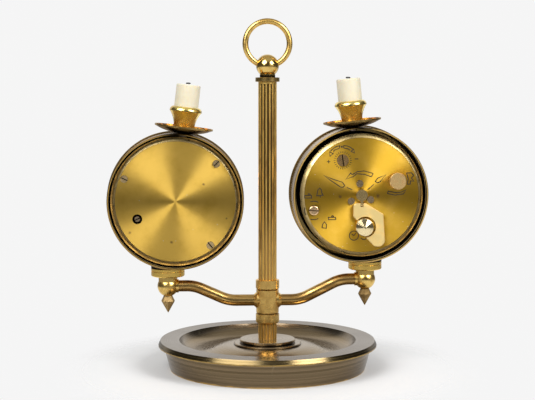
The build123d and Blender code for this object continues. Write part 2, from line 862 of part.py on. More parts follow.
with BuildPart() as case:
    add(barometer.case.part)
    for place in screw_places:
        rod(back, plate_screw_radius, ledge_bottom - overrun, plate_bottom + overrun, place,
            mode=Mode.SUBTRACT)
write(case, "barometer_case")

with BuildPart() as plate:
    rod(back, barometer.plate_radius, plate_bottom, plate_top)
    for place in screw_places:
        rod(back, plate_screw_radius, plate_bottom - overrun, plate_top + overrun, place,
            mode=Mode.SUBTRACT)
    rod(back, adjuster_hole_radius, plate_bottom - overrun, plate_top + overrun, adjuster_place,
        mode=Mode.SUBTRACT)
write(plate, "barometer_back_plate")

with BuildPart() as screws:
    for place, angle in zip(screw_places, plate_screw_angles):
        rod(back, plate_screw_head_radius, plate_top, plate_top + plate_screw_head_height, place)
        rod(back, plate_screw_radius, plate_top - plate_screw_length, plate_top, place)
        slot(back, plate_screw_head_radius, plate_top + plate_screw_head_height, place, angle)
write(screws, "barometer_plate_screws")

with BuildPart() as aneroid_plate:
    rod(back, barometer.dial_radius, movement_bottom, movement_top)
    for place in screw_places:
        rod(back, plate_screw_radius, movement_bottom - overrun, movement_top + overrun, place,
            mode=Mode.SUBTRACT)
    rod(back, adjuster_hole_radius, movement_bottom - overrun, movement_top + overrun,
        adjuster_place, mode=Mode.SUBTRACT)
write(aneroid_plate, "aneroid_plate")

capsule_top = movement_bottom - capsule_post_height - capsule_thickness
spring_top = capsule_top - capsule_post_height
with BuildPart() as capsule:
    rod(back, capsule_post_radius, movement_bottom - capsule_post_height, movement_bottom)
    rod(back, capsule_post_radius, spring_top, capsule_top)
    near = movement_bottom - capsule_post_height
    ridge_pitch = (capsule_radius - capsule_post_radius) / capsule_ridges
    ridge = []
    for count in range(capsule_ridges):
        start = capsule_post_radius + count * ridge_pitch
        ridge += [(start, 0), (start + ridge_pitch / 2, capsule_ridge_height)]
    rim = [(capsule_radius, capsule_ridge_height)]
    turn(
        back,
        (0, near), *[(radius, near - depth) for radius, depth in ridge + rim],
        *[(radius, capsule_top + depth) for radius, depth in (ridge + rim)[::-1]],
        (0, capsule_top))
write(capsule, "aneroid_capsule")

spring_plane = spun(back, adjuster_angle)
spring_side = Plane(origin=spring_plane.origin, x_dir=spring_plane.x_dir,
                    z_dir=-spring_plane.y_dir)
with BuildPart() as spring:
    with BuildSketch(spring_side.offset(-spring_width / 2)):
        with BuildLine():
            Polyline(
                (-spring_tip_reach, spring_top), (spring_bend_reach, spring_top),
                (spring_bend_reach, movement_bottom), (spring_foot_reach, movement_bottom),
                (spring_foot_reach, movement_bottom - spring_thickness),
                (spring_bend_reach + spring_thickness, movement_bottom - spring_thickness),
                (spring_bend_reach + spring_thickness, spring_top - spring_thickness),
                (-spring_tip_reach, spring_top - spring_thickness), close=True)
        make_face()
    extrude(amount=spring_width)
    rod(spring_plane, adjuster_radius + running_gap, movement_bottom - 2 * spring_thickness,
        movement_bottom + overrun, (adjuster_reach, 0), mode=Mode.SUBTRACT)
write(spring, "aneroid_spring")

bridge_top = spring_top - spring_thickness - bridge_gap
with BuildPart() as bridge:
    with BuildSketch(spring_plane.offset(bridge_top - bridge_thickness)):
        Rectangle(bridge_width, 2 * (bridge_reach + bridge_end))
        Circle(needle_arbor_radius + running_gap, mode=Mode.SUBTRACT)
    extrude(amount=bridge_thickness)
    for way in (-1, 1):
        rod(spring_plane, bridge_post_radius, bridge_top, movement_bottom, (0, way * bridge_reach))
write(bridge, "aneroid_bridge")

with BuildPart() as adjuster:
    head_top = plate_top - adjuster_head_sink
    head_bottom = head_top - adjuster_head_height
    rod(back, adjuster_head_radius, head_bottom, head_top, adjuster_place)
    rod(back, adjuster_radius, head_top - adjuster_length, head_bottom, adjuster_place)
    slot(back, adjuster_head_radius, head_top, adjuster_place, adjuster_angle)
write(adjuster, "adjusting_screw")

with BuildPart() as dial:
    rod(back, barometer.dial_radius, dial_front, dial_back)
    rod(back, 2 * needle_arbor_radius, dial_front - overrun, dial_back + overrun,
        mode=Mode.SUBTRACT)
write(dial, "barometer_dial")

dial_face = front.offset(-dial_front)
with BuildPart() as needle:
    hand(dial_face, needle_length, needle_tail, needle_width, needle_height,
         needle_height + hand_thickness, needle_shown_angle)
    arbor_start = -(bridge_top - dial_front) - 2 * running_gap
    rod(dial_face, needle_arbor_radius, arbor_start, needle_height)
write(needle, "barometer_needle")

with BuildPart() as marker:
    hand(dial_face, marker_length, marker_tail, marker_width, marker_height,
         marker_height + hand_thickness, marker_shown_angle)
    knob_bottom = dial_front - (-drum_half_depth - glass_height) + marker_knob_stand
    rod(dial_face, needle_arbor_radius, marker_height, knob_bottom)
    rod(dial_face, marker_knob_radius, knob_bottom, knob_bottom + marker_knob_height)
write(marker, "barometer_marker")


# Clock

clock = sides["clock"]
back = clock.insert
front = clock.front
dial_face = front.offset(-dial_front)
time_distance = hypot(*time_knob_place)
time_angle = degrees(atan2(time_knob_place[1], time_knob_place[0]))
alarm_distance = hypot(*alarm_knob_place)
alarm_angle = degrees(atan2(alarm_knob_place[1], alarm_knob_place[0]))
motion_place = polar(motion_distance, motion_angle)
motion_module = 2 * motion_distance / (cannon_teeth + minute_wheel_teeth)
setting_module = 2 * time_distance / (setting_pinion_teeth + setting_wheel_teeth)
alarm_module = 2 * alarm_distance / (alarm_pinion_teeth + alarm_wheel_teeth)
front_plate_top = front_plate_height + front_plate_thickness
hour_pipe_radius = arbor_radius + running_gap + pipe_wall
alarm_pipe_radius = hour_pipe_radius + running_gap + pipe_wall

with BuildPart() as case:
    add(clock.case.part)
    rod(back, button_shaft_radius + running_gap, ledge_bottom - overrun, plate_bottom + overrun,
        button_place, mode=Mode.SUBTRACT)
write(case, "clock_case")

with BuildPart() as plate:
    rod(back, clock.plate_radius, plate_bottom, plate_top)
    holes = (
        ((0, 0), winding_arbor_radius),
        (regulator_place, regulator_shaft_radius + running_gap),
        (alarm_knob_place, alarm_shaft_radius + running_gap),
        (button_place, button_shaft_radius + running_gap),
        (time_knob_place, time_shaft_radius + running_gap),
    )
    for place, radius in holes:
        rod(back, radius, plate_bottom - overrun, plate_top + overrun, place, mode=Mode.SUBTRACT)
    for place in round_head_places:
        rod(back, plate_screw_radius, plate_bottom - overrun, plate_top + overrun, place,
            mode=Mode.SUBTRACT)
write(plate, "clock_back_plate")

with BuildPart() as heads:
    for place in round_head_places:
        rod(back, round_head_radius, plate_top, plate_top + round_head_height, place)
        rod(back, plate_screw_radius, plate_top - plate_screw_length, plate_top, place)
write(heads, "clock_plate_screws")

with BuildPart() as movement:
    rod(back, clock.dial_radius, movement_bottom, movement_top)
    rod(back, front_plate_radius, front_plate_height, front_plate_top)
    with BuildSketch(back.offset(front_plate_top)):
        with PolarLocations(pillar_reach, pillar_count, start_angle=180 / pillar_count):
            Circle(pillar_radius)
    extrude(amount=movement_bottom - front_plate_top)
    rod(back, arbor_radius, front_plate_height - 3 * pinion_thickness, front_plate_height,
        motion_place)
    for place, radius in (
        ((0, 0), winding_arbor_radius),
        (regulator_place, regulator_shaft_radius + running_gap),
        (alarm_knob_place, alarm_shaft_radius + running_gap),
        (button_place, button_shaft_radius + running_gap),
        (time_knob_place, time_shaft_radius + running_gap),
    ):
        rod(back, radius, movement_bottom - overrun, movement_top + overrun, place,
            mode=Mode.SUBTRACT)
    for place in round_head_places:
        rod(back, plate_screw_radius, movement_bottom - overrun, movement_top + overrun, place,
            mode=Mode.SUBTRACT)
    rod(back, arbor_radius + running_gap, front_plate_height - overrun, front_plate_top + overrun,
        mode=Mode.SUBTRACT)
    rod(back, alarm_shaft_radius + running_gap, front_plate_height - overrun,
        front_plate_top + overrun, alarm_knob_place, mode=Mode.SUBTRACT)
write(movement, "movement_frame")

barrel_top = movement_bottom - barrel_stand
barrel_bottom = barrel_top - barrel_height
nose = barrel_bottom - winding_arbor_nose
with BuildPart() as barrel:
    tube(back, barrel_radius, winding_arbor_radius, barrel_bottom, barrel_top)
write(barrel, "mainspring_barrel")

hinge_height = plate_top + key_hinge_height
with BuildPart() as key_hub:
    rod(back, centre_head_radius, plate_top + running_gap, plate_top + centre_head_height)
    rod(back, winding_arbor_radius, nose, plate_top + running_gap)
    rod(back, arbor_pivot_radius + running_gap, nose - overrun, nose + arbor_pivot_length,
        mode=Mode.SUBTRACT)
    with BuildSketch(back.offset(plate_top + running_gap)):
        with Locations((0, -key_hinge_drop / 2)):
            Rectangle(2 * key_lug_half_width, key_hinge_drop)
    extrude(amount=key_hinge_height - running_gap)
    hinge = Plane(origin=back.from_local_coords(Vector(0, -key_hinge_drop, hinge_height)),
                  x_dir=back.y_dir, z_dir=back.x_dir)
    rod(hinge, key_knuckle_radius, -key_lug_half_width, key_lug_half_width)
    rod(hinge, key_pin_radius, -key_knuckle_half_width, key_knuckle_half_width)
write(key_hub, "winding_arbor")

with BuildPart() as key:
    with BuildSketch(back.offset(hinge_height - key_thickness / 2)):
        with BuildLine():
            FilletPolyline(*key_corners, radius=key_corner_radii, close=True)
        make_face()
    extrude(amount=key_thickness)
    chamfer(key.faces().sort_by(Axis(back.origin, back.z_dir))[-1].edges(), key_edge)
    rod(back, key_cutout_radius, hinge_height - key_thickness, hinge_height + key_thickness,
        key_cutout_place, mode=Mode.SUBTRACT)
    rod(hinge, key_knuckle_radius, -key_knuckle_half_width, key_knuckle_half_width)
    with BuildSketch(back.offset(plate_top)):
        with Locations((0, -key_hinge_drop)):
            Rectangle(2 * key_notch_half_width, 2 * key_notch_depth)
    extrude(amount=2 * key_hinge_height, mode=Mode.SUBTRACT)
    rod(hinge, key_pin_radius + running_gap, -key_knuckle_half_width - overrun,
        key_knuckle_half_width + overrun, mode=Mode.SUBTRACT)
write(key, "winding_key")

with BuildPart() as regulator:
    bottom = plate_top + running_gap
    rod(back, regulator_radius, bottom, bottom + regulator_height, regulator_place)
    rod(back, regulator_shaft_radius, bottom - regulator_shaft_length, bottom, regulator_place)
    slot(back, regulator_radius, bottom + regulator_height, regulator_place,
         regulator_slot_angle)
write(regulator, "regulator_screw")

with BuildPart() as button:
    bottom = plate_top + button_stand
    rod(back, button_radius, bottom, bottom + button_height, button_place)
    fillet(button.faces().sort_by(Axis(back.origin, back.z_dir))[-1].edges(), knob_edge)
    rod(back, button_shaft_radius, bottom - button_shaft_length, bottom, button_place)
    slot(back, button_radius, bottom + button_height, button_place, button_slot_angle)
write(button, "alarm_button")

setting_level = nose - arbor_pivot_length - pinion_thickness
with BuildPart() as time_knob:
    bottom = plate_top + time_knob_stand
    spot = Plane(origin=back.from_local_coords(Vector(*time_knob_place, 0)),
                 x_dir=back.x_dir, z_dir=back.z_dir)
    turn(
        spot,
        (0, bottom), (time_knob_radius - knob_edge, bottom),
        (time_knob_radius, bottom + knob_edge),
        (time_knob_radius, bottom + time_knob_height - time_knob_cone - knob_edge / 2),
        (time_knob_radius - knob_edge / 2, bottom + time_knob_height - time_knob_cone),
        (0, bottom + time_knob_height))
    rod(spot, time_shaft_radius, setting_level + pinion_thickness, bottom)
    gear(spot, setting_module, setting_pinion_teeth, 0, setting_level,
         setting_level + pinion_thickness, time_angle + 180)
write(time_knob, "time_knob")

alarm_level = dial_back + wheel_thickness
with BuildPart() as alarm_knob:
    bottom = plate_top + alarm_knob_stand
    spot = Plane(origin=back.from_local_coords(Vector(*alarm_knob_place, 0)),
                 x_dir=back.x_dir, z_dir=back.z_dir)
    turn(
        spot,
        (0, bottom), (alarm_knob_radius - knob_edge / 2, bottom),
        (alarm_knob_radius, bottom + knob_edge / 2),
        (alarm_knob_radius, bottom + alarm_knob_height - knob_edge / 2),
        (alarm_knob_radius - knob_edge / 2, bottom + alarm_knob_height),
        (0, bottom + alarm_knob_height))
    rod(spot, alarm_shaft_radius, alarm_level + pinion_thickness, bottom)
    gear(spot, alarm_module, alarm_pinion_teeth, 0, alarm_level, alarm_level + pinion_thickness,
         alarm_angle + 180)
write(alarm_knob, "alarm_knob")

with BuildPart() as dial:
    rod(back, clock.dial_radius, dial_front, dial_back)
    rod(back, alarm_pipe_radius + seat_gap, dial_front - overrun, dial_back + overrun,
        mode=Mode.SUBTRACT)
write(dial, "clock_dial")

cannon_top = front_plate_height - thrust_gap
cannon_bottom = cannon_top - pinion_thickness
minute_angle = 6 * time_shown_minutes
hour_angle = 30 * (time_shown_hours + time_shown_minutes / 60)
with BuildPart() as minute:
    hand(dial_face, minute_hand_length, 0, minute_hand_width, minute_hand_height,
         minute_hand_height + hand_thickness, minute_angle)
    rod(back, arbor_radius, dial_front - minute_hand_height, nose - thrust_gap)
    rod(back, arbor_pivot_radius, nose - thrust_gap, nose + arbor_pivot_length - thrust_gap)
    gear(back, setting_module, setting_wheel_teeth, 0, setting_level,
         setting_level + wheel_thickness, time_angle + 180 / setting_wheel_teeth)
    gear(back, motion_module, cannon_teeth, 0, cannon_bottom, cannon_top, motion_angle)
write(minute, "minute_hand")

minute_wheel_plane = Plane(origin=back.from_local_coords(Vector(*motion_place, 0)),
                           x_dir=back.x_dir, z_dir=back.z_dir)
hour_level = cannon_bottom - wheel_thickness - thrust_gap
with BuildPart() as minute_wheel:
    gear(minute_wheel_plane, motion_module, minute_wheel_teeth, arbor_radius + running_gap,
         cannon_top - wheel_thickness, cannon_top,
         motion_angle + 180 + 180 / minute_wheel_teeth)
    gear(minute_wheel_plane, motion_module, minute_pinion_teeth, arbor_radius + running_gap,
         hour_level - thrust_gap, cannon_top - wheel_thickness, motion_angle + 180)
write(minute_wheel, "minute_wheel")

with BuildPart() as hour:
    hand(dial_face, hour_hand_length, 0, hour_hand_width, hour_hand_height,
         hour_hand_height + hand_thickness, hour_angle, bore=arbor_radius + running_gap)
    tube(back, hour_pipe_radius, arbor_radius + running_gap, dial_front - hour_hand_height,
         hour_level)
    gear(back, motion_module, hour_wheel_teeth, arbor_radius + running_gap, hour_level,
         hour_level + wheel_thickness, motion_angle + 180 / hour_wheel_teeth)
write(hour, "hour_hand")

with BuildPart() as alarm:
    hand(dial_face, alarm_hand_length, 0, alarm_hand_width, alarm_hand_height,
         alarm_hand_height + hand_thickness, 30 * alarm_shown_hours,
         bore=hour_pipe_radius + running_gap)
    tube(back, alarm_pipe_radius, hour_pipe_radius + running_gap,
         dial_front - alarm_hand_height, alarm_level)
    gear(back, alarm_module, alarm_wheel_teeth, hour_pipe_radius + running_gap, alarm_level,
         alarm_level + wheel_thickness, alarm_angle + 180 / alarm_wheel_teeth)
write(alarm, "alarm_hand")
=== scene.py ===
# %% [markdown]
# # A barometer clock on its brass stand
#
# The stand has a dished bronze base, a fluted column with a ring handle, and two curved arms. One arm
# carries an aneroid barometer and the other an alarm clock, each with a small candle on top. The shapes
# come from the CAD model, which this script loads as a fixed frame. What is left to do here is what a
# CAD model doesn't have: the finishes of old brass, the marks printed on the clock's back, the
# numbers on both dials, the wicks, and the light of a small photo studio.

from collections import namedtuple
from math import radians, tau

import bmesh
import bpy
import numpy as np
from mathutils import Matrix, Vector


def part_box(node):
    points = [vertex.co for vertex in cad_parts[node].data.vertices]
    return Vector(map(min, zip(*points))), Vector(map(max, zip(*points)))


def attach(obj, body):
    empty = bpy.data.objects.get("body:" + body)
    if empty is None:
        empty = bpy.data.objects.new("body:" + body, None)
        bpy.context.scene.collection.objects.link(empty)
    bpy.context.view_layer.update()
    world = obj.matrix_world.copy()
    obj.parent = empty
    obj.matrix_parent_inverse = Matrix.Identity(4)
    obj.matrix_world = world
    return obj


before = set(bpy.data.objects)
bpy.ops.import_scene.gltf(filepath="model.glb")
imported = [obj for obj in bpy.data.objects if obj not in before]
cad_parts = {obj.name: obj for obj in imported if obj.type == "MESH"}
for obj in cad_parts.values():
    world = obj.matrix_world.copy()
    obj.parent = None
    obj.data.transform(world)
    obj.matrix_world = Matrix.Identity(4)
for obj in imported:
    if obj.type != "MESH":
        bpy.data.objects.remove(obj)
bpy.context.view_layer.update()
mm = 0.001

# %% [markdown]
# ## Where things are
#
# Every drum has two flat faces that carry marks: its back plate and its dial. A face is described by a
# point in the middle of it and three directions: right, up and out, as someone sees them who looks at
# the face. The drums lean a little, so the dial's "up" points from the drum's centre to its candle. The
# back plates were screwed in upright, so their "up" is simply +Z.

# %% Faces of the drums
Face = namedtuple("Face", "origin right up out")


def middle_of(name):
    """The middle of a CAD piece's box: the mean of its lowest and highest corner."""
    low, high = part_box(name)
    return np.array((low + high) / 2)


def face_at(origin, up, out):
    """A face whose right-hand direction is the cross product of up and out."""
    up = up / np.linalg.norm(up)
    return Face(origin, np.cross(up, out), up, out)


def place_on(face, name):
    """Where the middle of a CAD piece lies on a face, in mm to the right and up."""
    offset = middle_of(name) - face.origin
    return np.array((offset @ face.right, offset @ face.up)) / mm


back_faces, dial_faces, drum_centres = {}, {}, {}
for side in ("barometer", "clock"):
    drum_centre = middle_of(f"{side}_glass") * (1, 0, 1)
    towards_candle = (middle_of(f"{side}_candle") - drum_centre) * (1, 0, 1)
    insert_centre = middle_of(f"{side}_dial") * (1, 0, 1)
    plate_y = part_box(f"{side}_back_plate")[0].y
    dial_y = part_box(f"{side}_dial")[1].y
    back_faces[side] = face_at(insert_centre + (0, plate_y, 0), np.array((0, 0, 1)), np.array((0, -1, 0)))
    dial_faces[side] = face_at(insert_centre + (0, dial_y, 0), towards_candle, np.array((0, 1, 0)))
    drum_centres[side] = drum_centre
    print(side, "drum centre in mm", np.round(drum_centre / mm, 2))

# %% [markdown]
# ## Tools for meshes
#
# A surface is a grid of points: rows along one parameter, columns along the other. Its faces are the
# same for every grid, so one function numbers them, and another puts points and faces into a mesh.
# A closed shell has to point outwards. The sign of its volume says whether it does, and if not, every
# face is turned round. Where a round form ends in a pole, a whole row of points lies in one place, and
# merging them closes it.

# %% Grids and meshes
def grid_faces(rows, columns, wrap_rows=False, wrap_columns=False):
    """Quads of a grid: corner (i, j), (i + 1, j), (i + 1, j + 1), (i, j + 1), wrapping where asked."""
    i, j = np.meshgrid(np.arange(rows - (not wrap_rows)), np.arange(columns - (not wrap_columns)),
                       indexing="ij")
    i, j = i.ravel(), j.ravel()
    i_next, j_next = (i + 1) % rows, (j + 1) % columns
    return np.stack((i * columns + j, i_next * columns + j,
                     i_next * columns + j_next, i * columns + j_next), axis=1)


def outward(points, faces):
    """The faces, all turned round if the shell's volume, a sum of p0 . (p1 x p2) / 6, is negative."""
    corners = points[faces]
    fans = [np.einsum("ij,ij->i", corners[:, 0], np.cross(corners[:, k], corners[:, k + 1]))
            for k in range(1, faces.shape[1] - 1)]
    return faces if np.sum(fans) > 0 else faces[:, ::-1]


def shells_to_mesh(name, shells):
    """One mesh of several (points, faces) shells: each shell's face numbers start after the last."""
    starts = np.cumsum([0] + [len(points) for points, _ in shells[:-1]])
    faces = [row for (_, part), start in zip(shells, starts) for row in (part + start).tolist()]
    mesh = bpy.data.meshes.new(name)
    mesh.from_pydata(np.concatenate([points for points, _ in shells]), [], faces)
    mesh.update()
    return mesh


def merge_poles(mesh):
    """Merges the points that lie on each other, so that the quads round a pole become triangles."""
    shape = bmesh.new()
    shape.from_mesh(mesh)
    bmesh.ops.remove_doubles(shape, verts=shape.verts, dist=0.0001 * mm)
    shape.to_mesh(mesh)
    shape.free()


def add_piece(name, shells, body, round_form=False):
    """A finished piece: its object at the origin, riding on a body."""
    mesh = shells_to_mesh(name, shells)
    if round_form:
        merge_poles(mesh)
    mesh.polygons.foreach_set("use_smooth", [round_form] * len(mesh.polygons))
    piece = bpy.data.objects.new(name, mesh)
    bpy.context.scene.collection.objects.link(piece)
    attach(piece, body)
    print(name, "has", len(mesh.vertices), "points and", len(mesh.polygons), "faces")
    return piece


# %% [markdown]
# ## Tools for printed marks
#
# The marks on the clock's back and the scales of the dials are ink, a few hundredths of a millimetre
# thick. A mark could be painted by a shader, but a thin solid is sharper and survives every export. So
# a drawn line is a flat bar that follows a path of a few points on the face, with its underside sunk
# a hair into the plate.

# %% Flat bars on a face
ink_rise = 0.03 * mm
ink_sink = 0.02 * mm
mitre_limit = 1.2


def on_face(face, flat, height):
    """Points (x, y) on a face, lifted by a height: origin + x right + y up + height out."""
    return (face.origin + flat[..., :1] * face.right + flat[..., 1:2] * face.up
            + np.asarray(height)[..., None] * face.out)


def drawn_line(face, path, width, closed=False):
    """A flat bar along a path in mm: each point steps half the width both ways across the path.

    The step's direction is the sum of the two neighbouring runs' normals, and its length is divided
    by the cosine of half the bend, so that the bar stays as wide round a corner. The sum's square is
    kept above a limit, so that a sharp corner doesn't grow a spike.
    """
    path = np.asarray(path, float) * mm
    runs = np.diff(path, axis=0, append=path[:1])
    runs /= np.linalg.norm(runs, axis=1, keepdims=True)
    before = np.roll(runs, 1, axis=0)
    if not closed:
        before[0], runs[-1] = runs[0], runs[-2]
    normals = np.stack((-runs[:, 1] - before[:, 1], runs[:, 0] + before[:, 0]), axis=1)
    normals *= width * mm / np.maximum(np.sum(normals**2, axis=1, keepdims=True), mitre_limit)
    sides = np.array((-1, 1, 1, -1))[None, :, None]
    heights = np.broadcast_to((-ink_sink, -ink_sink, ink_rise, ink_rise), (len(path), 4))
    points = on_face(face, path[:, None] + sides * normals[:, None], heights).reshape(-1, 3)
    faces = grid_faces(len(path), 4, wrap_rows=closed, wrap_columns=True)
    if not closed:
        ends = np.array(((3, 2, 1, 0), np.arange(4) + 4 * (len(path) - 1)))
        faces = np.concatenate((faces, ends))
    return points, outward(points, faces)


def arc(centre, radius, start, end, count=24):
    """Points of an arc in mm, angles in degrees: centre + radius (cos a, sin a)."""
    angle = np.radians(np.linspace(start, end, count))
    return np.asarray(centre) + radius * np.stack((np.cos(angle), np.sin(angle)), axis=1)


def ticks(face, centre, inner, outer, width, angles):
    """One short bar per angle, from the inner to the outer radius round a centre, as many shells."""
    angles = np.radians(np.asarray(angles, float))[:, None]
    ways = np.concatenate((np.cos(angles), np.sin(angles)), axis=1)
    return [drawn_line(face, np.asarray(centre) + np.outer((inner, outer), way), width)
            for way in ways]


# %% [markdown]
# ## Marks on the back of the clock
#
# The plate shows by small outline drawings what each control does. Arrows round the regulator slow the
# clock down or speed it up, the two hands and the long arrow belong to the winding key, a bell marks
# the alarm, and a little dial marks the time knob. A drawing is a path of a few points, open or
# closed, and all are drawn with one width of line. Places are in millimetres from the middle of the
# plate, to the right and up.

# %% Marks of the clock's back plate
clock_back = back_faces["clock"]
line_width = 0.55
tick_width = 0.36
regulator_centre = place_on(clock_back, "regulator_screw")
regulator_ring = (4.7, 5.9)
regulator_dot_centre = (-13.1, 31.4)
regulator_dot_radius = 0.35
regulator_dot_width = 0.6
time_dial_centre = (-4.9, -26.4)
time_dial_radius = 3.0
button_centre = place_on(clock_back, "alarm_button")
button_arc_radius = 6.0
button_arc_length = 50
button_arc_starts = (60, 160, 250)

open_marks = {
    "slower arrow": ((-14.4, 32.1), (-14.8, 30.4), (-18.2, 29.1), (-18.4, 27.9)),
    "slower arrow back": ((-14.4, 32.1), (-16.8, 31.5), (-19.0, 30.1), (-20.4, 28.7)),
    "faster arrow": ((-12.0, 32.1), (-11.8, 30.6), (-9.2, 30.1), (-7.6, 29.1)),
    "faster arrow back": ((-12.0, 32.1), (-9.4, 31.9), (-7.3, 30.9), (-5.8, 29.7)),
    "minus sign": ((-4.6, 23.5), (-2.3, 23.5)),
    "plus sign, across": ((-22.7, 21.8), (-20.5, 21.8)),
    "plus sign, upright": ((-21.6, 22.9), (-21.6, 20.7)),
    "left hand's shaft": ((-9.7, 5.1), (-6.1, 3.5)),
    "right hand's shaft": ((3.8, 3.5), (7.9, 6.9)),
    "bell clapper": ((-27.0, -0.2), (-27.0, -1.5)),
    "key peg, left": ((-35.0, 0.0), (-34.6, 1.1), (-33.6, 0.8), (-33.9, -0.1)),
    "key peg, right": ((-19.6, -14.4), (-19.2, -13.3), (-18.2, -13.6), (-18.5, -14.4)),
    "time arrow": ((-0.4, -27.9), (0.8, -28.9), (2.2, -29.0), (3.4, -28.3)),
    "minute hand of the little dial": (time_dial_centre, (-3.6, -24.7)),
    "hour hand of the little dial": (time_dial_centre, (-6.3, -25.5)),
}
closed_marks = {
    "slower arrow head": ((-20.9, 28.1), (-18.7, 27.0), (-20.8, 25.3)),
    "faster arrow head": ((-5.5, 29.9), (-7.0, 28.4), (-4.7, 27.3)),
    "left hand": ((-25.2, 13.2), (-19.5, 10.7), (-12.6, 8.4), (-11.1, 6.4), (-12.2, 5.1),
                  (-14.0, 5.5), (-20.6, 9.9)),
    "long arrow": ((-10.5, 10.3), (-7.3, 14.4), (-6.2, 13.3), (-2.8, 15.3), (1.4, 15.7), (6.1, 14.5),
                   (7.4, 13.8), (6.2, 11.9), (1.7, 13.5), (-3.3, 13.9), (-5.5, 12.1)),
    "right hand": ((15.6, 13.1), (10.5, 11.1), (8.9, 8.9), (10.2, 7.9), (12.0, 8.7)),
    "alarm arrow": ((29.2, 14.2), (32.6, 14.3), (33.9, 12.6), (32.4, 10.9), (34.2, 8.9), (31.8, 9.1),
                    (31.8, 7.1), (29.8, 6.9), (30.4, 10.5)),
    "alarm turning arrow": ((17.3, 2.5), (16.9, 0.9), (22.0, -0.1), (27.3, 0.7), (29.2, 3.6),
                            (26.3, 2.0), (23.4, 1.4), (19.7, 2.0)),
    "bell": ((-27.3, 4.7), (-28.5, 3.5), (-28.9, 1.5), (-29.3, -0.3), (-25.2, 0.0), (-26.0, 1.7),
             (-26.2, 3.5)),
    "key box, left": ((-37.2, -0.1), (-32.8, -0.1), (-32.6, -1.7), (-37.0, -1.7)),
    "key box, right": ((-21.7, -14.4), (-17.0, -14.4), (-16.8, -15.9), (-21.6, -15.9)),
    "ringing bell": ((-24.2, -17.3), (-25.4, -18.9), (-25.8, -21.1), (-23.0, -21.5), (-22.8, -19.1)),
}
closed_marks["little dial"] = arc(time_dial_centre, time_dial_radius, 0, 345)
button_arcs = [arc(button_centre, button_arc_radius, start, start + button_arc_length)
               for start in button_arc_starts]

marks = [drawn_line(clock_back, path, line_width) for path in (*open_marks.values(), *button_arcs)]
marks += [drawn_line(clock_back, path, line_width, closed=True) for path in closed_marks.values()]
dot = arc(regulator_dot_centre, regulator_dot_radius, 0, 300, count=6)
marks += [drawn_line(clock_back, dot, regulator_dot_width, closed=True)]
marks += ticks(clock_back, regulator_centre, *regulator_ring, tick_width, np.arange(0, 360, 15))
add_piece("clock_back_marks", marks, "clock")

# %% [markdown]
# ## Dials
#
# In this view the dials face away, but the object is looked at from all sides. The clock has its twelve
# hours, sixty minute ticks and a small ring of ticks for the alarm hand. The barometer has a scale of
# pressures over three quarters of a turn. Blender's own font sets the numbers. Each one is made a mesh,
# its doubles are merged so that the shell is closed, and only then is it moved to its place.

# %% Numbers from the font
def number_shell(face, text, size, centre):
    """The closed shell of a printed number, its middle at a place on the face, size in mm."""
    curve = bpy.data.curves.new("number", "FONT")
    curve.body, curve.size, curve.extrude, curve.resolution_u = text, size * mm, ink_rise, 3
    curve.align_x = curve.align_y = "CENTER"
    lettering = bpy.data.objects.new("number", curve)
    bpy.context.scene.collection.objects.link(lettering)
    evaluated = lettering.evaluated_get(bpy.context.evaluated_depsgraph_get())
    shape = bmesh.new()
    shape.from_mesh(evaluated.to_mesh())
    bpy.data.objects.remove(lettering)
    bmesh.ops.remove_doubles(shape, verts=shape.verts, dist=ink_rise / 10)
    bmesh.ops.triangulate(shape, faces=shape.faces)
    bmesh.ops.recalc_face_normals(shape, faces=shape.faces)
    flat = np.array([corner.co for corner in shape.verts])
    faces = np.array([[corner.index for corner in part.verts] for part in shape.faces])
    shape.free()
    points = on_face(face, flat[:, :2] + np.asarray(centre) * mm, flat[:, 2])
    return points, outward(points, faces)


def dial_place(radius, turn):
    """Place in mm at a radius, turned clockwise from the top of the dial by an angle in degrees."""
    return radius * np.sin(np.radians(turn)), radius * np.cos(np.radians(turn))


# %% Scales of both dials
scale_radius = 35.4
alarm_ring_radius = 15.4
hour_number_size, hour_number_radius = 8.0, 28.2
pressure_number_size, pressure_number_radius = 4.6, 29.0


def scale_ticks(face, angles, length, width, outer=scale_radius):
    """Ticks round the middle of a dial that reach inwards from a radius, all in mm."""
    return ticks(face, (0, 0), outer - length, outer, width, angles)


clock_dial = dial_faces["clock"]
clock_scale = scale_ticks(clock_dial, np.arange(0, 360, 6), length=1.3, width=0.25)
clock_scale += scale_ticks(clock_dial, np.arange(0, 360, 30), length=2.6, width=0.7)
clock_scale += scale_ticks(clock_dial, np.arange(0, 360, 7.5), length=1.4, width=0.2,
                           outer=alarm_ring_radius)
clock_scale += [number_shell(clock_dial, str(hour), hour_number_size,
                             dial_place(hour_number_radius, 30 * hour)) for hour in range(1, 13)]
add_piece("clock_dial_scale", clock_scale, "clock")

pressures = np.arange(960, 1061, 10)
scale_turns = np.linspace(-135, 135, len(pressures))
first_angle, last_angle = 90 - scale_turns[-1], 90 - scale_turns[0]
barometer_dial = dial_faces["barometer"]
barometer_scale = scale_ticks(barometer_dial, 90 - scale_turns, length=2.4, width=0.5)
barometer_scale += scale_ticks(barometer_dial, np.linspace(first_angle, last_angle, 101), length=1.2,
                               width=0.2)
barometer_scale += [drawn_line(barometer_dial, arc((0, 0), scale_radius, first_angle, last_angle,
                                                   count=96), 0.25)]
barometer_scale += [number_shell(barometer_dial, str(pressure), pressure_number_size,
                                 dial_place(pressure_number_radius, turn))
                    for pressure, turn in zip(pressures, scale_turns)]
add_piece("barometer_dial_scale", barometer_scale, "barometer")

# %% [markdown]
# ## Wicks
#
# Each candle has been lit, and its wick lies charred and bent over on the wax. A wick is a tube: a
# circle carried along a short curved path. The circle shrinks to a point at both ends, which closes it.

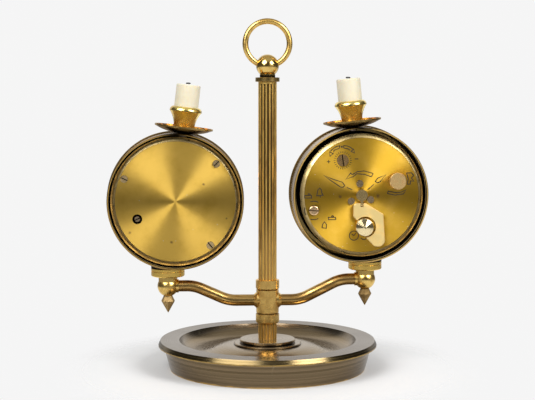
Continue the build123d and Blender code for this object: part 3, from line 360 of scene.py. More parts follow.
# %% Charred wicks
wick_radius = 0.5 * mm
wick_reach = 1.9 * mm
wick_rise = 0.35 * mm
wick_sink = 0.35 * mm
wick_asides = {"barometer": 0.8 * mm, "clock": -1.1 * mm}


def tube_shell(path, radii, segments=12):
    """A tube along a path: point = path + radius (cos a side + sin a lift)."""
    along = np.gradient(path, axis=0)
    along /= np.linalg.norm(along, axis=1, keepdims=True)
    side = np.cross(along, (0, 1, 0))
    side /= np.linalg.norm(side, axis=1, keepdims=True)
    lift = np.cross(side, along)
    angle = np.linspace(0, tau, segments, endpoint=False)[None, :, None]
    rings = path[:, None] + radii[:, None, None] * (np.cos(angle) * side[:, None]
                                                    + np.sin(angle) * lift[:, None])
    points = rings.reshape(-1, 3)
    return points, outward(points, grid_faces(len(path), segments, wrap_columns=True))


def wick_shell(top, aside):
    """A bent wick on a candle's top: x runs steadily along it while z follows part of a sine.

    Its radius is the root of 1 - (2 share - 1)^8, full along the wick and zero at both ends.
    """
    share = np.linspace(0, 1, 14)
    path = np.stack((aside + wick_reach * (1.7 * share - 0.8), 0 * share,
                     wick_rise * np.sin(np.pi * (0.25 + 0.6 * share)) - wick_sink), axis=1)
    radii = wick_radius * np.sqrt(1 - (2 * share - 1) ** 8)
    return tube_shell(top + path, radii)


for side, aside in wick_asides.items():
    top = middle_of(f"{side}_candle")
    top[2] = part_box(f"{side}_candle")[1].z
    add_piece(f"{side}_wick", [wick_shell(top, aside)], side, round_form=True)

# %% [markdown]
# ## Building shaders in code
#
# A material is a small graph of nodes. A few helpers keep the code readable. One adds a node with its
# settings, numbers and wires. Others do arithmetic, take a vector apart and mix colours. The last two
# start a node group with named sockets and place it in a material.

# %% Node helpers
def add_node(tree, kind, values=(), **settings):
    """One shader node. Values go to its sockets: a number or colour is set, a socket is wired."""
    node = tree.nodes.new(f"ShaderNode{kind}")
    for name, value in settings.items():
        setattr(node, name, value)
    for name, value in dict(values).items():
        if isinstance(value, bpy.types.NodeSocket):
            tree.links.new(value, node.inputs[name])
        else:
            node.inputs[name].default_value = value
    return node


def calculate(tree, operation, *values, clamp=False):
    """The output of a Math node whose inputs are numbers or sockets."""
    return add_node(tree, "Math", dict(enumerate(values)), operation=operation,
                    use_clamp=clamp).outputs[0]


def length_of(tree, first, second):
    """The length of a flat vector: the root of the sum of both squares."""
    squares = [calculate(tree, "MULTIPLY", side, side) for side in (first, second)]
    return calculate(tree, "SQRT", calculate(tree, "ADD", *squares))


def height_of(tree, vector):
    """The Z part of a vector, which is the height along the lathe's axis on a turned piece."""
    return add_node(tree, "SeparateXYZ", {0: vector}).outputs["Z"]


def smooth_step(tree, value, low, high):
    """0 below low, 1 above high and a smooth slope between them. Low may be the larger one."""
    values = {"Value": value, "From Min": low, "From Max": high}
    return add_node(tree, "MapRange", values, interpolation_type="SMOOTHSTEP").outputs["Result"]


def blend_colors(tree, share, first, second, blend_type="MIX"):
    """A mix of two colours by a share from 0 to 1."""
    mix = add_node(tree, "Mix", data_type="RGBA", blend_type=blend_type)
    for socket, value in zip((mix.inputs[0], mix.inputs[6], mix.inputs[7]), (share, first, second)):
        if isinstance(value, bpy.types.NodeSocket):
            tree.links.new(value, socket)
        else:
            socket.default_value = value
    return mix.outputs[2]


def start_group(name, inputs, outputs):
    """A node group with inputs, given as name: (socket type, default), and outputs, name: type."""
    tree = bpy.data.node_groups.new(name, "ShaderNodeTree")
    for label, (kind, default) in inputs.items():
        socket = tree.interface.new_socket(label, in_out="INPUT", socket_type=f"NodeSocket{kind}")
        if default is not None:
            socket.default_value = default
    for label, kind in outputs.items():
        tree.interface.new_socket(label, in_out="OUTPUT", socket_type=f"NodeSocket{kind}")
    entry, result = tree.nodes.new("NodeGroupInput"), tree.nodes.new("NodeGroupOutput")
    print("group", name, "takes", ", ".join(inputs), "and gives", ", ".join(outputs))
    return tree, entry.outputs, lambda label, socket: tree.links.new(socket, result.inputs[label])


def use_group(tree, group, **values):
    """Places a node group in a material. An underscore in a value's name stands for a space."""
    node = add_node(tree, "Group", node_tree=group)
    for label, value in values.items():
        socket = node.inputs[label.replace("_", " ")]
        if isinstance(value, bpy.types.NodeSocket):
            tree.links.new(value, socket)
        else:
            socket.default_value = value
    return node.outputs


# %% [markdown]
# ## Effects that many finishes share
#
# **Tarnish** mixes a clean and an aged colour in soft clouds. The same clouds, stretched, make the
# streaks that polishing leaves along a rod. **Turned lines** are the fine circles of the lathe: a
# one-dimensional noise read at a point's distance from the axis, so it is constant round each circle.
# ** Worn ring** marks a round edge: bare metal where hands and cloths rub most, dirt in a joint, or shade painted into a corner.
# ** Specks** and **hairlines** are the small spots and scratches of use. **Stain** darkens one place: a real stain, or a painted shadow under a pan.

# %% Tarnish group
tarnish, entry, give = start_group(
    "tarnish",
    {"Vector": ("Vector", None), "Clean": ("Color", (0.8, 0.6, 0.3, 1)),
     "Aged": ("Color", (0.3, 0.2, 0.1, 1)), "Patches": ("Float", 60.0), "Aging": ("Float", 0.5),
     "Softness": ("Float", 0.15)},
    {"Color": "Color", "Mask": "Float"})
clouds = add_node(tarnish, "TexNoise", {"Vector": entry["Vector"], "Scale": entry["Patches"],
                                        "Detail": 5.0, "Roughness": 0.6}).outputs["Fac"]
level = calculate(tarnish, "SUBTRACT", 1.0, entry["Aging"])
mask = smooth_step(tarnish, clouds, calculate(tarnish, "SUBTRACT", level, entry["Softness"]),
                   calculate(tarnish, "ADD", level, entry["Softness"]))
give("Color", blend_colors(tarnish, mask, entry["Clean"], entry["Aged"]))
give("Mask", mask)

# %% Turned lines group
height_weight = 1.31
turned_lines, entry, give = start_group(
    "turned_lines",
    {"Vector": ("Vector", None), "Fineness": ("Float", 4000.0), "Low": ("Float", 0.0),
     "High": ("Float", 1.0)},
    {"Lines": "Float", "Radius": "Float"})
parts = add_node(turned_lines, "SeparateXYZ", {0: entry["Vector"]}).outputs
radius = length_of(turned_lines, parts["X"], parts["Y"])
along = calculate(turned_lines, "MULTIPLY", entry["Fineness"],
                  calculate(turned_lines, "MULTIPLY_ADD", parts["Z"], height_weight, radius))
lines = add_node(turned_lines, "TexNoise", {"W": along, "Scale": 1.0, "Detail": 2.0},
                 noise_dimensions="1D").outputs["Fac"]
give("Lines", add_node(turned_lines, "MapRange", {
    "Value": lines, "From Min": 0.3, "From Max": 0.7, "To Min": entry["Low"],
    "To Max": entry["High"]}).outputs["Result"])
give("Radius", radius)

# %% Worn ring group
worn_ring, entry, give = start_group(
    "worn_ring",
    {"Vector": ("Vector", None), "Radius": ("Float", 0.05), "Height": ("Float", 0.0),
     "Width": ("Float", 0.001), "Unevenness": ("Float", 0.5)},
    {"Mask": "Float"})
parts = add_node(worn_ring, "SeparateXYZ", {0: entry["Vector"]}).outputs
aside = calculate(worn_ring, "SUBTRACT", length_of(worn_ring, parts["X"], parts["Y"]), entry["Radius"])
above = calculate(worn_ring, "SUBTRACT", parts["Z"], entry["Height"])
distance = length_of(worn_ring, aside, above)
breaks = add_node(worn_ring, "TexNoise", {"Vector": entry["Vector"], "Scale": 130.0,
                                          "Detail": 4.0}).outputs["Fac"]
width = calculate(worn_ring, "MULTIPLY", entry["Width"], calculate(
    worn_ring, "MULTIPLY_ADD", calculate(worn_ring, "SUBTRACT", breaks, 0.5),
    calculate(worn_ring, "MULTIPLY", entry["Unevenness"], 4.0), 1.0))
give("Mask", smooth_step(worn_ring, distance, width, calculate(worn_ring, "MULTIPLY", width, 0.25)))

# %% Specks group
specks, entry, give = start_group(
    "specks",
    {"Vector": ("Vector", None), "Density": ("Float", 150.0), "Size": ("Float", 0.1)},
    {"Mask": "Float"})
cells = add_node(specks, "TexVoronoi", {"Vector": entry["Vector"], "Scale": entry["Density"]}).outputs
chance = add_node(specks, "SeparateColor", {0: cells["Color"]}).outputs[0]
size = calculate(specks, "MULTIPLY", entry["Size"], smooth_step(specks, chance, 0.75, 1.0))
give("Mask", smooth_step(specks, cells["Distance"], size, calculate(specks, "MULTIPLY", size, 0.5)))

# %% Hairlines group
hairlines, entry, give = start_group(
    "hairlines",
    {"Vector": ("Vector", None), "Scale": ("Float", 40.0), "Thinness": ("Float", 0.004),
     "Share": ("Float", 0.4)},
    {"Mask": "Float"})
waves = add_node(hairlines, "TexNoise", {"Vector": entry["Vector"], "Scale": entry["Scale"],
                                         "Detail": 0.0}).outputs["Fac"]
nearness = calculate(hairlines, "ABSOLUTE", calculate(hairlines, "SUBTRACT", waves, 0.5))
pieces = add_node(hairlines, "TexNoise", {"Vector": entry["Vector"], "Scale": calculate(
    hairlines, "MULTIPLY", entry["Scale"], 3.7), "Detail": 1.0}).outputs["Fac"]
line = smooth_step(hairlines, nearness, entry["Thinness"], 0.0)
shown = smooth_step(hairlines, pieces, calculate(hairlines, "SUBTRACT", 1.0, entry["Share"]), 0.75)
give("Mask", calculate(hairlines, "MULTIPLY", line, shown))

# %% Stain group
stain, entry, give = start_group(
    "stain",
    {"Vector": ("Vector", None), "Centre": ("Vector", (0, 0, 0)), "Radius": ("Float", 0.001)},
    {"Mask": "Float"})
ragged = add_node(stain, "TexNoise", {"Vector": entry["Vector"], "Scale": 500.0,
                                      "Detail": 3.0}).outputs["Fac"]
distance = add_node(stain, "VectorMath", {0: entry["Vector"], 1: entry["Centre"]},
                    operation="DISTANCE").outputs["Value"]
edge = calculate(stain, "MULTIPLY", entry["Radius"], calculate(
    stain, "MULTIPLY_ADD", ragged, 2.0, 0.1))
give("Mask", smooth_step(stain, distance, edge, 0.0))

# %% [markdown]
# ## Starting a finish
#
# Every finish starts the same way: a Principled shader, and the piece's Object coordinates, moved and
# turned so that the pattern sits where the maker's tool was. For a turned piece the lathe's axis becomes Z.
# Numbers that hold for the whole surface, such as the anisotropy of a brushed metal, are set on the
# shader's own sockets. Dirt is nearly black and much rougher than metal, and so is the shade that is
# painted into gaps, slots and corners.

# %% Start of a material
def colour(red, green, blue):
    """A linear colour with full alpha."""
    return (red, green, blue, 1.0)


def start_finish(name, centre=(0, 0, 0), turn=(0, 0, 0), stretch=(1, 1, 1), **constants):
    """A material with its shader and a placed vector. Constants go straight to the shader's sockets."""
    material = bpy.data.materials.new(name)
    material.use_nodes = True
    tree = material.node_tree
    shader = tree.nodes["Principled BSDF"]
    for label, value in constants.items():
        shader.inputs[label.replace("_", " ")].default_value = value
    place = add_node(tree, "TexCoord").outputs["Object"]
    centred = add_node(tree, "VectorMath", {0: place, 1: centre}, operation="SUBTRACT").outputs[0]
    vector = add_node(tree, "Mapping", {"Vector": centred, "Rotation": turn, "Scale": stretch}
                      ).outputs["Vector"]
    return material, tree, shader, vector


def wire(tree, shader, **sockets):
    """Wires sockets to the shader's inputs. An underscore in a name stands for a space."""
    for label, socket in sockets.items():
        tree.links.new(socket, shader.inputs[label.replace("_", " ")])


def clouds_on(tree, vector, clean, aged, patches, aging, softness):
    """The outputs of the tarnish group: clouds of an aged colour on a clean one, and their mask."""
    return use_group(tree, tarnish, Vector=vector, Clean=clean, Aged=aged, Patches=patches,
                     Aging=aging, Softness=softness)


def clouded_finish(name, clean, aged, patches, aging, softness, roughness, spread, **constants):
    """A finish in clouds of two colours: its roughness is a number plus the clouds' mask times a spread."""
    material, tree, shader, vector = start_finish(name, **constants)
    clouds = clouds_on(tree, vector, clean, aged, patches, aging, softness)
    wire(tree, shader, Base_Color=clouds["Color"],
         Roughness=calculate(tree, "MULTIPLY_ADD", clouds["Mask"], spread, roughness))
    return material, tree, shader, vector, clouds


# %% Relief, rings of wear and dirt, and painted shade
facing_back = (radians(-90), 0, 0)
# Near black: real dirt in joints, and shade painted into gaps, slots and corners.
grime_and_shade = colour(0.012, 0.008, 0.004)
dark_roughness = 0.4


def bump(tree, height, strength, distance):
    """The normal of a Bump node for a height between 0 and 1."""
    return add_node(tree, "Bump", {"Height": height, "Strength": strength, "Distance": distance}
                    ).outputs["Normal"]


def paint(material, *names):
    """Gives a material to CAD pieces and to pieces made here."""
    for name in names:
        mesh = bpy.data.objects[name].data
        mesh.materials.clear()
        mesh.materials.append(material)
    print(material.name, "on", ", ".join(names))


def paint_rings(tree, vector, base, rings, ring_color):
    """Blends a colour into the base along rings, each a radius, a height, a width and an unevenness."""
    for radius, height, width, unevenness in rings:
        mask = use_group(tree, worn_ring, Vector=vector, Radius=radius, Height=height, Width=width,
                         Unevenness=unevenness)["Mask"]
        base = blend_colors(tree, mask, base, ring_color)
    return base


def paint_dirt(tree, vector, base, rough, level, slope):
    """Paints the base dark below a height, as shade in gaps, slots and under parts: the roughness rises
    over a slope in metres.
    """
    dark_share = smooth_step(tree, height_of(tree, vector), level, level - slope)
    return (blend_colors(tree, dark_share, base, grime_and_shade),
            calculate(tree, "MULTIPLY_ADD", dark_share, dark_roughness, rough, clamp=True))


# %% [markdown]
# ## Circular-brushed plates
#
# Both back plates were brushed while they turned. The grooves run in circles, so light is spread along the
# radius and each lamp shows as two bright wedges that meet in the middle. In the shader this is anisotropy,
# with a radial tangent, turned by a quarter so that the spread is across the grooves. A few stains and
# spots come from years of handling, and the plate's edge, below its face, is painted dark as shade inside
# the case.

# %% Brushed plates
stain_brown = colour(0.30, 0.17, 0.055)
spot_pale = colour(0.85, 0.72, 0.42)
plate_aged = colour(0.70, 0.43, 0.07)
# Below this level the plate's edge inside the case is painted dark as shade.
plate_edge_dark_level = -0.1 * mm


def circular_brushed(name, centre, clean, aged, roughness, dark_below, stains=(), spot_density=300.0):
    """Brass brushed in circles: lines vary the roughness and the normal, stains darken single places.

    A stain is given by its place, to the right and up, and its radius, in mm.
    """
    material, tree, shader, vector = start_finish(
        name, centre=tuple(centre), turn=facing_back, Metallic=1.0, Anisotropic=0.93,
        Anisotropic_Rotation=0.25)
    rings = use_group(tree, turned_lines, Vector=vector, Fineness=6000.0, Low=roughness - 0.05,
                      High=roughness + 0.05)
    base = clouds_on(tree, vector, clean, aged, patches=70.0, aging=0.4, softness=0.2)["Color"]
    for right, up, radius in stains:
        mask = use_group(tree, stain, Vector=vector, Centre=(right * mm, up * mm, 0),
                         Radius=radius * mm)["Mask"]
        base = blend_colors(tree, mask, base, stain_brown)
    spots = use_group(tree, specks, Vector=vector, Density=spot_density, Size=0.12)["Mask"]
    base = blend_colors(tree, spots, base, spot_pale)
    base, rough = paint_dirt(tree, vector, base, rings["Lines"], dark_below, 0.2 * mm)
    tangent = add_node(tree, "Tangent", direction_type="RADIAL", axis="Y").outputs[0]
    wire(tree, shader, Base_Color=base, Tangent=tangent, Roughness=rough,
         Normal=bump(tree, rings["Lines"], 0.04, 0.02 * mm))
    return material


barometer_stains = ((18.1, 11.2, 1.1), (-29.3, -19.9, 1.2), (-2.7, -26.2, 1.3), (33.0, -11.0, 0.9))
clock_stains = ((-14.0, -1.0, 1.6), (10.5, -0.6, 1.8))
plate_looks = {"barometer": (colour(0.84, 0.54, 0.105), 0.35, barometer_stains, 260.0),
               "clock": (colour(0.60, 0.357, 0.034), 0.44, clock_stains, 330.0)}
for side, (clean, roughness, stains, spot_density) in plate_looks.items():
    plate = circular_brushed(f"brushed brass, {side}", back_faces[side].origin, clean, plate_aged,
                             roughness, plate_edge_dark_level, stains, spot_density)
    paint(plate, f"{side}_back_plate")

# %% [markdown]
# ## Turned bronze base
#
# The base was turned, lacquered dark and has lost its coat where it is touched: along the lower edge of the
# rim's bevel, along the foot and on the steps of the hub. The corners below the hub's steps are painted
# dark as shade. Its brushing is circular too, round the Z axis. The skirt shows broad bands of the lathe,
# the bevel is a darker gold, and the middle of the dish has been wiped paler. All of these are rings, so
# radius and height are enough to place them, and the overall sizes come from the CAD model's boxes.

# %% Rings of the base
base_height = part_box("base_dish")[1].z
rim_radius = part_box("base_dish")[1].x
bevel_foot_height = base_height - 2.7 * mm
bevel_inner_radius = rim_radius - 1.3 * mm
bevel_blend = 0.2 * mm
skirt_blend = 1.5 * mm
wiped_radius, wiped_edge_radius = 53.0 * mm, 57.5 * mm
foot_radius = 64.0 * mm
bare_edges = ((rim_radius, bevel_foot_height - 0.4 * mm, 0.4 * mm, 0.8),
              (foot_radius, 0.0, 0.7 * mm, 0.9),
              (22.0 * mm, 16.8 * mm, 0.3 * mm, 0.8),
              (18.3 * mm, 19.1 * mm, 0.3 * mm, 0.8))
# Corners below the hub's steps, painted dark as shade.
shaded_corners = ((22.1 * mm, 15.6 * mm, 0.45 * mm, 0.4),
                 (17.7 * mm, 17.2 * mm, 0.8 * mm, 0.4))
print("rim radius and base height in mm:", round(rim_radius / mm, 1), round(base_height / mm, 1))

# %% Bronze of the base and hub
bronze, tree, shader, vector = start_finish("turned bronze", Metallic=1.0, Anisotropic=0.5,
                                            Anisotropic_Rotation=0.25)
rings = use_group(tree, turned_lines, Vector=vector, Fineness=2500.0, Low=0.16, High=0.34)
base = clouds_on(tree, vector, colour(0.23, 0.185, 0.13), colour(0.165, 0.12, 0.072), patches=28.0,
                 aging=0.45, softness=0.2)["Color"]
skirt = smooth_step(tree, height_of(tree, vector), bevel_foot_height, bevel_foot_height - skirt_blend)
bands = use_group(tree, turned_lines, Vector=vector, Fineness=420.0)["Lines"]
skirt_color = blend_colors(tree, bands, colour(0.13, 0.095, 0.052), colour(0.22, 0.16, 0.095))
base = blend_colors(tree, skirt, base, skirt_color)
bevel = smooth_step(tree, rings["Radius"], bevel_inner_radius - bevel_blend,
                    bevel_inner_radius + bevel_blend)
base = blend_colors(tree, bevel, base, colour(0.155, 0.112, 0.05))
wiped = smooth_step(tree, rings["Radius"], wiped_edge_radius, wiped_radius)
base = blend_colors(tree, calculate(tree, "MULTIPLY", wiped, 0.5), base, colour(0.42, 0.31, 0.17))
base = paint_rings(tree, vector, base, bare_edges, colour(0.60, 0.39, 0.12))
# Shade painted dark into the corners below the hub's steps.
base = paint_rings(tree, vector, base, shaded_corners, grime_and_shade)
scratches = use_group(tree, hairlines, Vector=vector, Scale=26.0, Thinness=0.003, Share=0.45)["Mask"]
base = blend_colors(tree, scratches, base, colour(0.40, 0.33, 0.21))
tangent = add_node(tree, "Tangent", direction_type="RADIAL", axis="Z").outputs[0]
wire(tree, shader, Base_Color=base, Roughness=rings["Lines"], Tangent=tangent,
     Normal=bump(tree, rings["Lines"], 0.08, 0.03 * mm))
paint(bronze, "base_dish", "hub_plate")

# %% [markdown]
# ## Aged brass of the collars and arms
#
# The collars and arms are brass that has gone brown and stays bright where it is rubbed. On long
# pieces the clouds of tarnish are stretched, so they become streaks along the piece. One function
# makes these finishes and most of those below, and each piece gets its own colours and share of age.
# Where the collars meet the sleeve, dirt has settled in the joints.

# %% Aged brass
tarnish_roughness = 0.16


def aged_brass(name, clean, aged, patches, aging, roughness, fineness=3000.0, dark_below=None,
               dirt_rings=(), **place):
    """Brass with tarnish clouds, fine lines and hairline scratches, and shade painted dark below a height.

    Dirt rings lie round the Z axis, each given by its radius, height, width and unevenness.
    """
    material, tree, shader, vector = start_finish(name, Metallic=1.0, **place)
    clouds = clouds_on(tree, vector, clean, aged, patches, aging, softness=0.14)
    rings = use_group(tree, turned_lines, Vector=vector, Fineness=fineness, Low=-0.06, High=0.06)
    scratches = use_group(tree, hairlines, Vector=vector, Scale=patches / 2, Thinness=0.004,
                          Share=0.3)["Mask"]
    base = blend_colors(tree, scratches, clouds["Color"], clean)
    rough = calculate(tree, "MULTIPLY_ADD", clouds["Mask"], tarnish_roughness, roughness)
    rough = calculate(tree, "ADD", rough, rings["Lines"], clamp=True)
    # Below the given height the piece is painted dark, as shade in a gap or slot or under a part.
    if dark_below is not None:
        base, rough = paint_dirt(tree, vector, base, rough, dark_below, 0.25 * mm)
    base = paint_rings(tree, vector, base, dirt_rings, grime_and_shade)
    wire(tree, shader, Base_Color=base, Roughness=rough,
         Normal=bump(tree, calculate(tree, "ADD", rings["Lines"], 0.5), 0.05, 0.03 * mm))
    return material


sleeve_low, sleeve_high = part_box("cross_sleeve")
collars_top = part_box("column_collars")[1].z
joint_dirt = ((7.6 * mm, sleeve_low.z, 0.75 * mm, 0.2), (7.6 * mm, sleeve_high.z, 0.75 * mm, 0.2),
              (7.7 * mm, collars_top, 0.5 * mm, 0.2))
collar_brass = aged_brass("brushed collar brass", colour(0.92, 0.60, 0.18), colour(0.60, 0.36, 0.10),
                          patches=140.0, aging=0.45, roughness=0.24, dirt_rings=joint_dirt)
paint(collar_brass, "column_collars", "cross_sleeve")
capital_brass = aged_brass("dark capital brass", colour(0.40, 0.27, 0.09), colour(0.18, 0.11, 0.04),
                           patches=140.0, aging=0.5, roughness=0.25)
paint(capital_brass, "capital_ring")
arm_brass = aged_brass("drawn arm brass", colour(0.80, 0.52, 0.17), colour(0.32, 0.19, 0.06),
                       patches=260.0, aging=0.55, roughness=0.17, stretch=(0.06, 1, 1))
paint(arm_brass, "barometer_arm", "clock_arm")

# %% [markdown]
# ## The fluted column
#
# Polishing reached the ridges of the flutes but not their hollows, which are almost black. Only low
# down are the hollows rubbed bright too. The distance from the axis tells a ridge from a hollow, so no
# flute has to be drawn.

# %% Column
hollow_radius = 5.75 * mm
hollow_blend = 0.2 * mm
rubbed_below, rubbed_up_to = 65 * mm, 115 * mm
column_brass, tree, shader, vector = start_finish("fluted brass", Metallic=1.0)
stretched = add_node(tree, "Mapping", {"Vector": vector, "Scale": (1, 1, 0.15)}).outputs["Vector"]
clouds = clouds_on(tree, stretched, colour(1.0, 0.66, 0.18), colour(0.42, 0.25, 0.07), patches=300.0,
                   aging=0.45, softness=0.1)
parts = add_node(tree, "SeparateXYZ", {0: vector}).outputs
hollow = smooth_step(tree, length_of(tree, parts["X"], parts["Y"]), hollow_radius,
                     hollow_radius - hollow_blend)
rubbed = smooth_step(tree, parts["Z"], rubbed_up_to, rubbed_below)
hollow_color = blend_colors(tree, rubbed, colour(0.05, 0.03, 0.012), colour(0.38, 0.235, 0.08))
rough = calculate(tree, "MULTIPLY_ADD", clouds["Mask"], 0.1, 0.32)
wire(tree, shader, Base_Color=blend_colors(tree, hollow, clouds["Color"], hollow_color),
     Roughness=calculate(tree, "MULTIPLY_ADD", hollow, 0.2, rough))
paint(column_brass, "fluted_column")

# %% [markdown]
# ## Polished brass
#
# Balls, cups and the ring handle were buffed. They mirror the studio, so their colour comes from what
# stands around them, and only a little tarnish and a fine unevenness of the roughness keep them from
# looking new. The finials are the other way round: fingers turn them, and they are rubbed dull.

# %% Polished brass
polished = aged_brass("polished brass", colour(0.76, 0.52, 0.16), colour(0.50, 0.31, 0.08),
                      patches=160.0, aging=0.45, roughness=0.23, fineness=200.0)
paint(polished, "handle_ring", "arm_balls")
# Below this height, at the neck over the capital, the top ball is painted dark as shade.
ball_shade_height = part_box("top_ball")[1].z - 13.2 * mm
ball_brass = aged_brass("top ball brass", colour(0.76, 0.52, 0.16), colour(0.56, 0.36, 0.10),
                        patches=160.0, aging=0.4, roughness=0.14, fineness=200.0, dark_below=0.0,
                        centre=(0, 0, ball_shade_height))
paint(ball_brass, "top_ball")
cup_brass = aged_brass("cup brass", colour(0.98, 0.75, 0.24), colour(0.76, 0.50, 0.14), patches=120.0,
                       aging=0.4, roughness=0.19, fineness=300.0)
paint(cup_brass, "barometer_cup", "clock_cup")
finial_brass = aged_brass("rubbed brass", colour(0.46, 0.32, 0.14), colour(0.30, 0.20, 0.08),
                          patches=190.0, aging=0.5, roughness=0.66, fineness=2000.0)
paint(finial_brass, "barometer_finial", "clock_finial")

# %% [markdown]
# ## Pans and saddles
#
# A pan is bright above, and its underside is painted dark brown, as shade and as the reflection of the dark
# drum below. The surface's own direction tells the two sides apart: the Z part of its normal is negative on
# the underside. A saddle carries its drum, and the narrow gap between them, above the saddle's groove, is
# painted dark as shade. Its coordinates are turned upside down, so that "below a height" means the side
# next to the drum.

# %% Pans
shaded_underside_from, shaded_underside_to = -0.45, -0.9
pan_brass, tree, shader, vector, clouds = clouded_finish(
    "pan brass", colour(0.76, 0.50, 0.16), colour(0.40, 0.25, 0.08), patches=150.0, aging=0.45,
    softness=0.14, roughness=0.2, spread=0.14, Metallic=1.0)
facing = height_of(tree, add_node(tree, "NewGeometry").outputs["Normal"])
# The underside is painted dark brown: painted shade, and a painted reflection of the dark drum.
underside_shade = smooth_step(tree, facing, shaded_underside_from, shaded_underside_to)
wire(tree, shader, Base_Color=blend_colors(tree, underside_shade, clouds["Color"], colour(0.07, 0.04, 0.012)))
paint(pan_brass, "barometer_pan", "clock_pan")

# %% Saddles
saddle_groove_drop = 0.5 * mm
drum_radius = 44.0 * mm
upside_down = (radians(180), 0, 0)
# Each saddle is painted dark above its groove, as shade in the gap under its drum.
for side, centre in drum_centres.items():
    groove = centre[2] - drum_radius * dial_faces[side].up[2] - saddle_groove_drop
    saddle_brass = aged_brass(f"saddle brass, {side}", colour(1.0, 0.67, 0.16), colour(0.80, 0.50, 0.13),
                              patches=190.0, aging=0.4, roughness=0.22, dark_below=0.0,
                              centre=(0, 0, groove), turn=upside_down)
    paint(saddle_brass, f"{side}_saddle")

# %% [markdown]
# ## Drums and cases
#
# The drums are spun brass gone brown, with a bright rubbed line on the rim's inner edge. The narrow gap
# between a drum and its case is painted shade: the drum's inner wall is painted black. One band of that
# wall, level with the case's bevel, is painted pale instead, and the bevel mirrors it: so the case shows as
# a golden ring beside a black gap. A painted shadow of the drip pan darkens the drum's end under it. The
# case is paler and shinier. All patterns are turned to face back, round the drum's axis.

# %% Brass of a drum
drum_inner_radius = 43.0 * mm
case_bevel_foot = -1.25 * mm
drum_end = -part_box("clock_drum")[0].y
end_from, end_to = drum_end - 0.5 * mm, drum_end - 0.1 * mm
line_from, line_to = drum_inner_radius + 0.35 * mm, drum_inner_radius + 0.2 * mm
# The inner wall is painted black as shade in the gap; one band of it is painted pale, so that the case's
# bevel mirrors a golden ring.
shaded_wall_from, shaded_wall_to = drum_inner_radius + 0.12 * mm, drum_inner_radius + 0.02 * mm
mirrored_band_from, mirrored_band_to = drum_end - 3.0 * mm, drum_end - 3.5 * mm
mirrored_band_blend = 0.4 * mm
# The centre of a painted shadow of the drip pan on the drum's end.
pan_shadow_centre = (0, drum_radius, drum_end)
drum_looks = {"barometer": (colour(0.32, 0.195, 0.075), drum_end - 4.6 * mm),
              "clock": (colour(0.62, 0.41, 0.15), drum_end - 5.6 * mm)}


def drum_brass(name, end_color, mirrored_band_foot, **place):
    """Spun brass with a brown end, a bright inner edge, an inner wall painted black as shade but for one
    pale band for the case's bevel to mirror, and a painted shadow of the pan on the end.
    """
    material, tree, shader, vector = start_finish(name, Metallic=1.0, **place)
    clouds = clouds_on(tree, vector, colour(0.66, 0.43, 0.17), colour(0.34, 0.21, 0.09),
                       patches=120.0, aging=0.45, softness=0.14)
    rings = use_group(tree, turned_lines, Vector=vector, Fineness=3000.0, Low=-0.05, High=0.05)
    height = height_of(tree, vector)
    end = smooth_step(tree, height, end_from, end_to)
    base = blend_colors(tree, end, clouds["Color"], end_color)
    edge_line = smooth_step(tree, rings["Radius"], line_from, line_to)
    base = blend_colors(tree, edge_line, base, colour(0.80, 0.53, 0.13))
    # Painted shade on the inner wall, but for the pale band that the bevel mirrors.
    shaded_wall = smooth_step(tree, rings["Radius"], shaded_wall_from, shaded_wall_to)
    mirrored_band = calculate(tree, "MULTIPLY", smooth_step(tree, height, mirrored_band_from, mirrored_band_to),
                     smooth_step(tree, height, mirrored_band_foot, mirrored_band_foot + mirrored_band_blend))
    base = blend_colors(tree, shaded_wall, base, blend_colors(tree, mirrored_band, grime_and_shade, colour(0.80, 0.62, 0.34)))
    # A painted shadow of the drip pan on the drum's end.
    pan_shadow = use_group(tree, stain, Vector=vector, Centre=pan_shadow_centre, Radius=14 * mm)["Mask"]
    base = blend_colors(tree, pan_shadow, base, grime_and_shade)
    rough = calculate(tree, "ADD", calculate(tree, "MULTIPLY_ADD", end, 0.26, 0.18),
                      calculate(tree, "MULTIPLY_ADD", shaded_wall, 0.42, rings["Lines"]), clamp=True)
    wire(tree, shader, Base_Color=base, Roughness=rough)
    return material


# %% Finishes of both drums
for side, centre in drum_centres.items():
    place = dict(centre=tuple(centre), turn=facing_back)
    paint(drum_brass(f"spun drum brass, {side}", *drum_looks[side], **place), f"{side}_drum")
    # Below the bevel's foot the case's side is painted black, as shade in the gap.
    case_brass = aged_brass(f"case brass, {side}", colour(0.88, 0.67, 0.30), colour(0.50, 0.37, 0.16),
                            patches=120.0, aging=0.5, roughness=0.26, dark_below=case_bevel_foot,
                            centre=tuple(back_faces[side].origin), turn=facing_back)
    paint(case_brass, f"{side}_case")
    bezel_brass = aged_brass(f"bezel brass, {side}", colour(0.82, 0.58, 0.22), colour(0.60, 0.38, 0.13),
                             patches=90.0, aging=0.3, roughness=0.14, **place)
    paint(bezel_brass, f"{side}_bezel")

# %% [markdown]
# ## Small metals
#
# The screws that stay inside are steel with a warm film. The heads on the back plates and the winding arbor
# are small brass parts, each with its own tone, and with shade painted dark in its slot and round its foot.
# The alarm knob is coppery and mottled, the time knob is plated and brushed in circles like the plates, and
# the key is bare sheet brass with a satin face. The barometer's spring, seen through a hole, is painted
# near black all over.

# %% Screws and other heads
steel = aged_brass("filmed steel", colour(0.55, 0.46, 0.40), colour(0.30, 0.21, 0.17), patches=500.0,
                   aging=0.5, roughness=0.28, fineness=4000.0)
paint(steel, "tie_rod", "base_nut", "barometer_candle_screw", "clock_candle_screw")
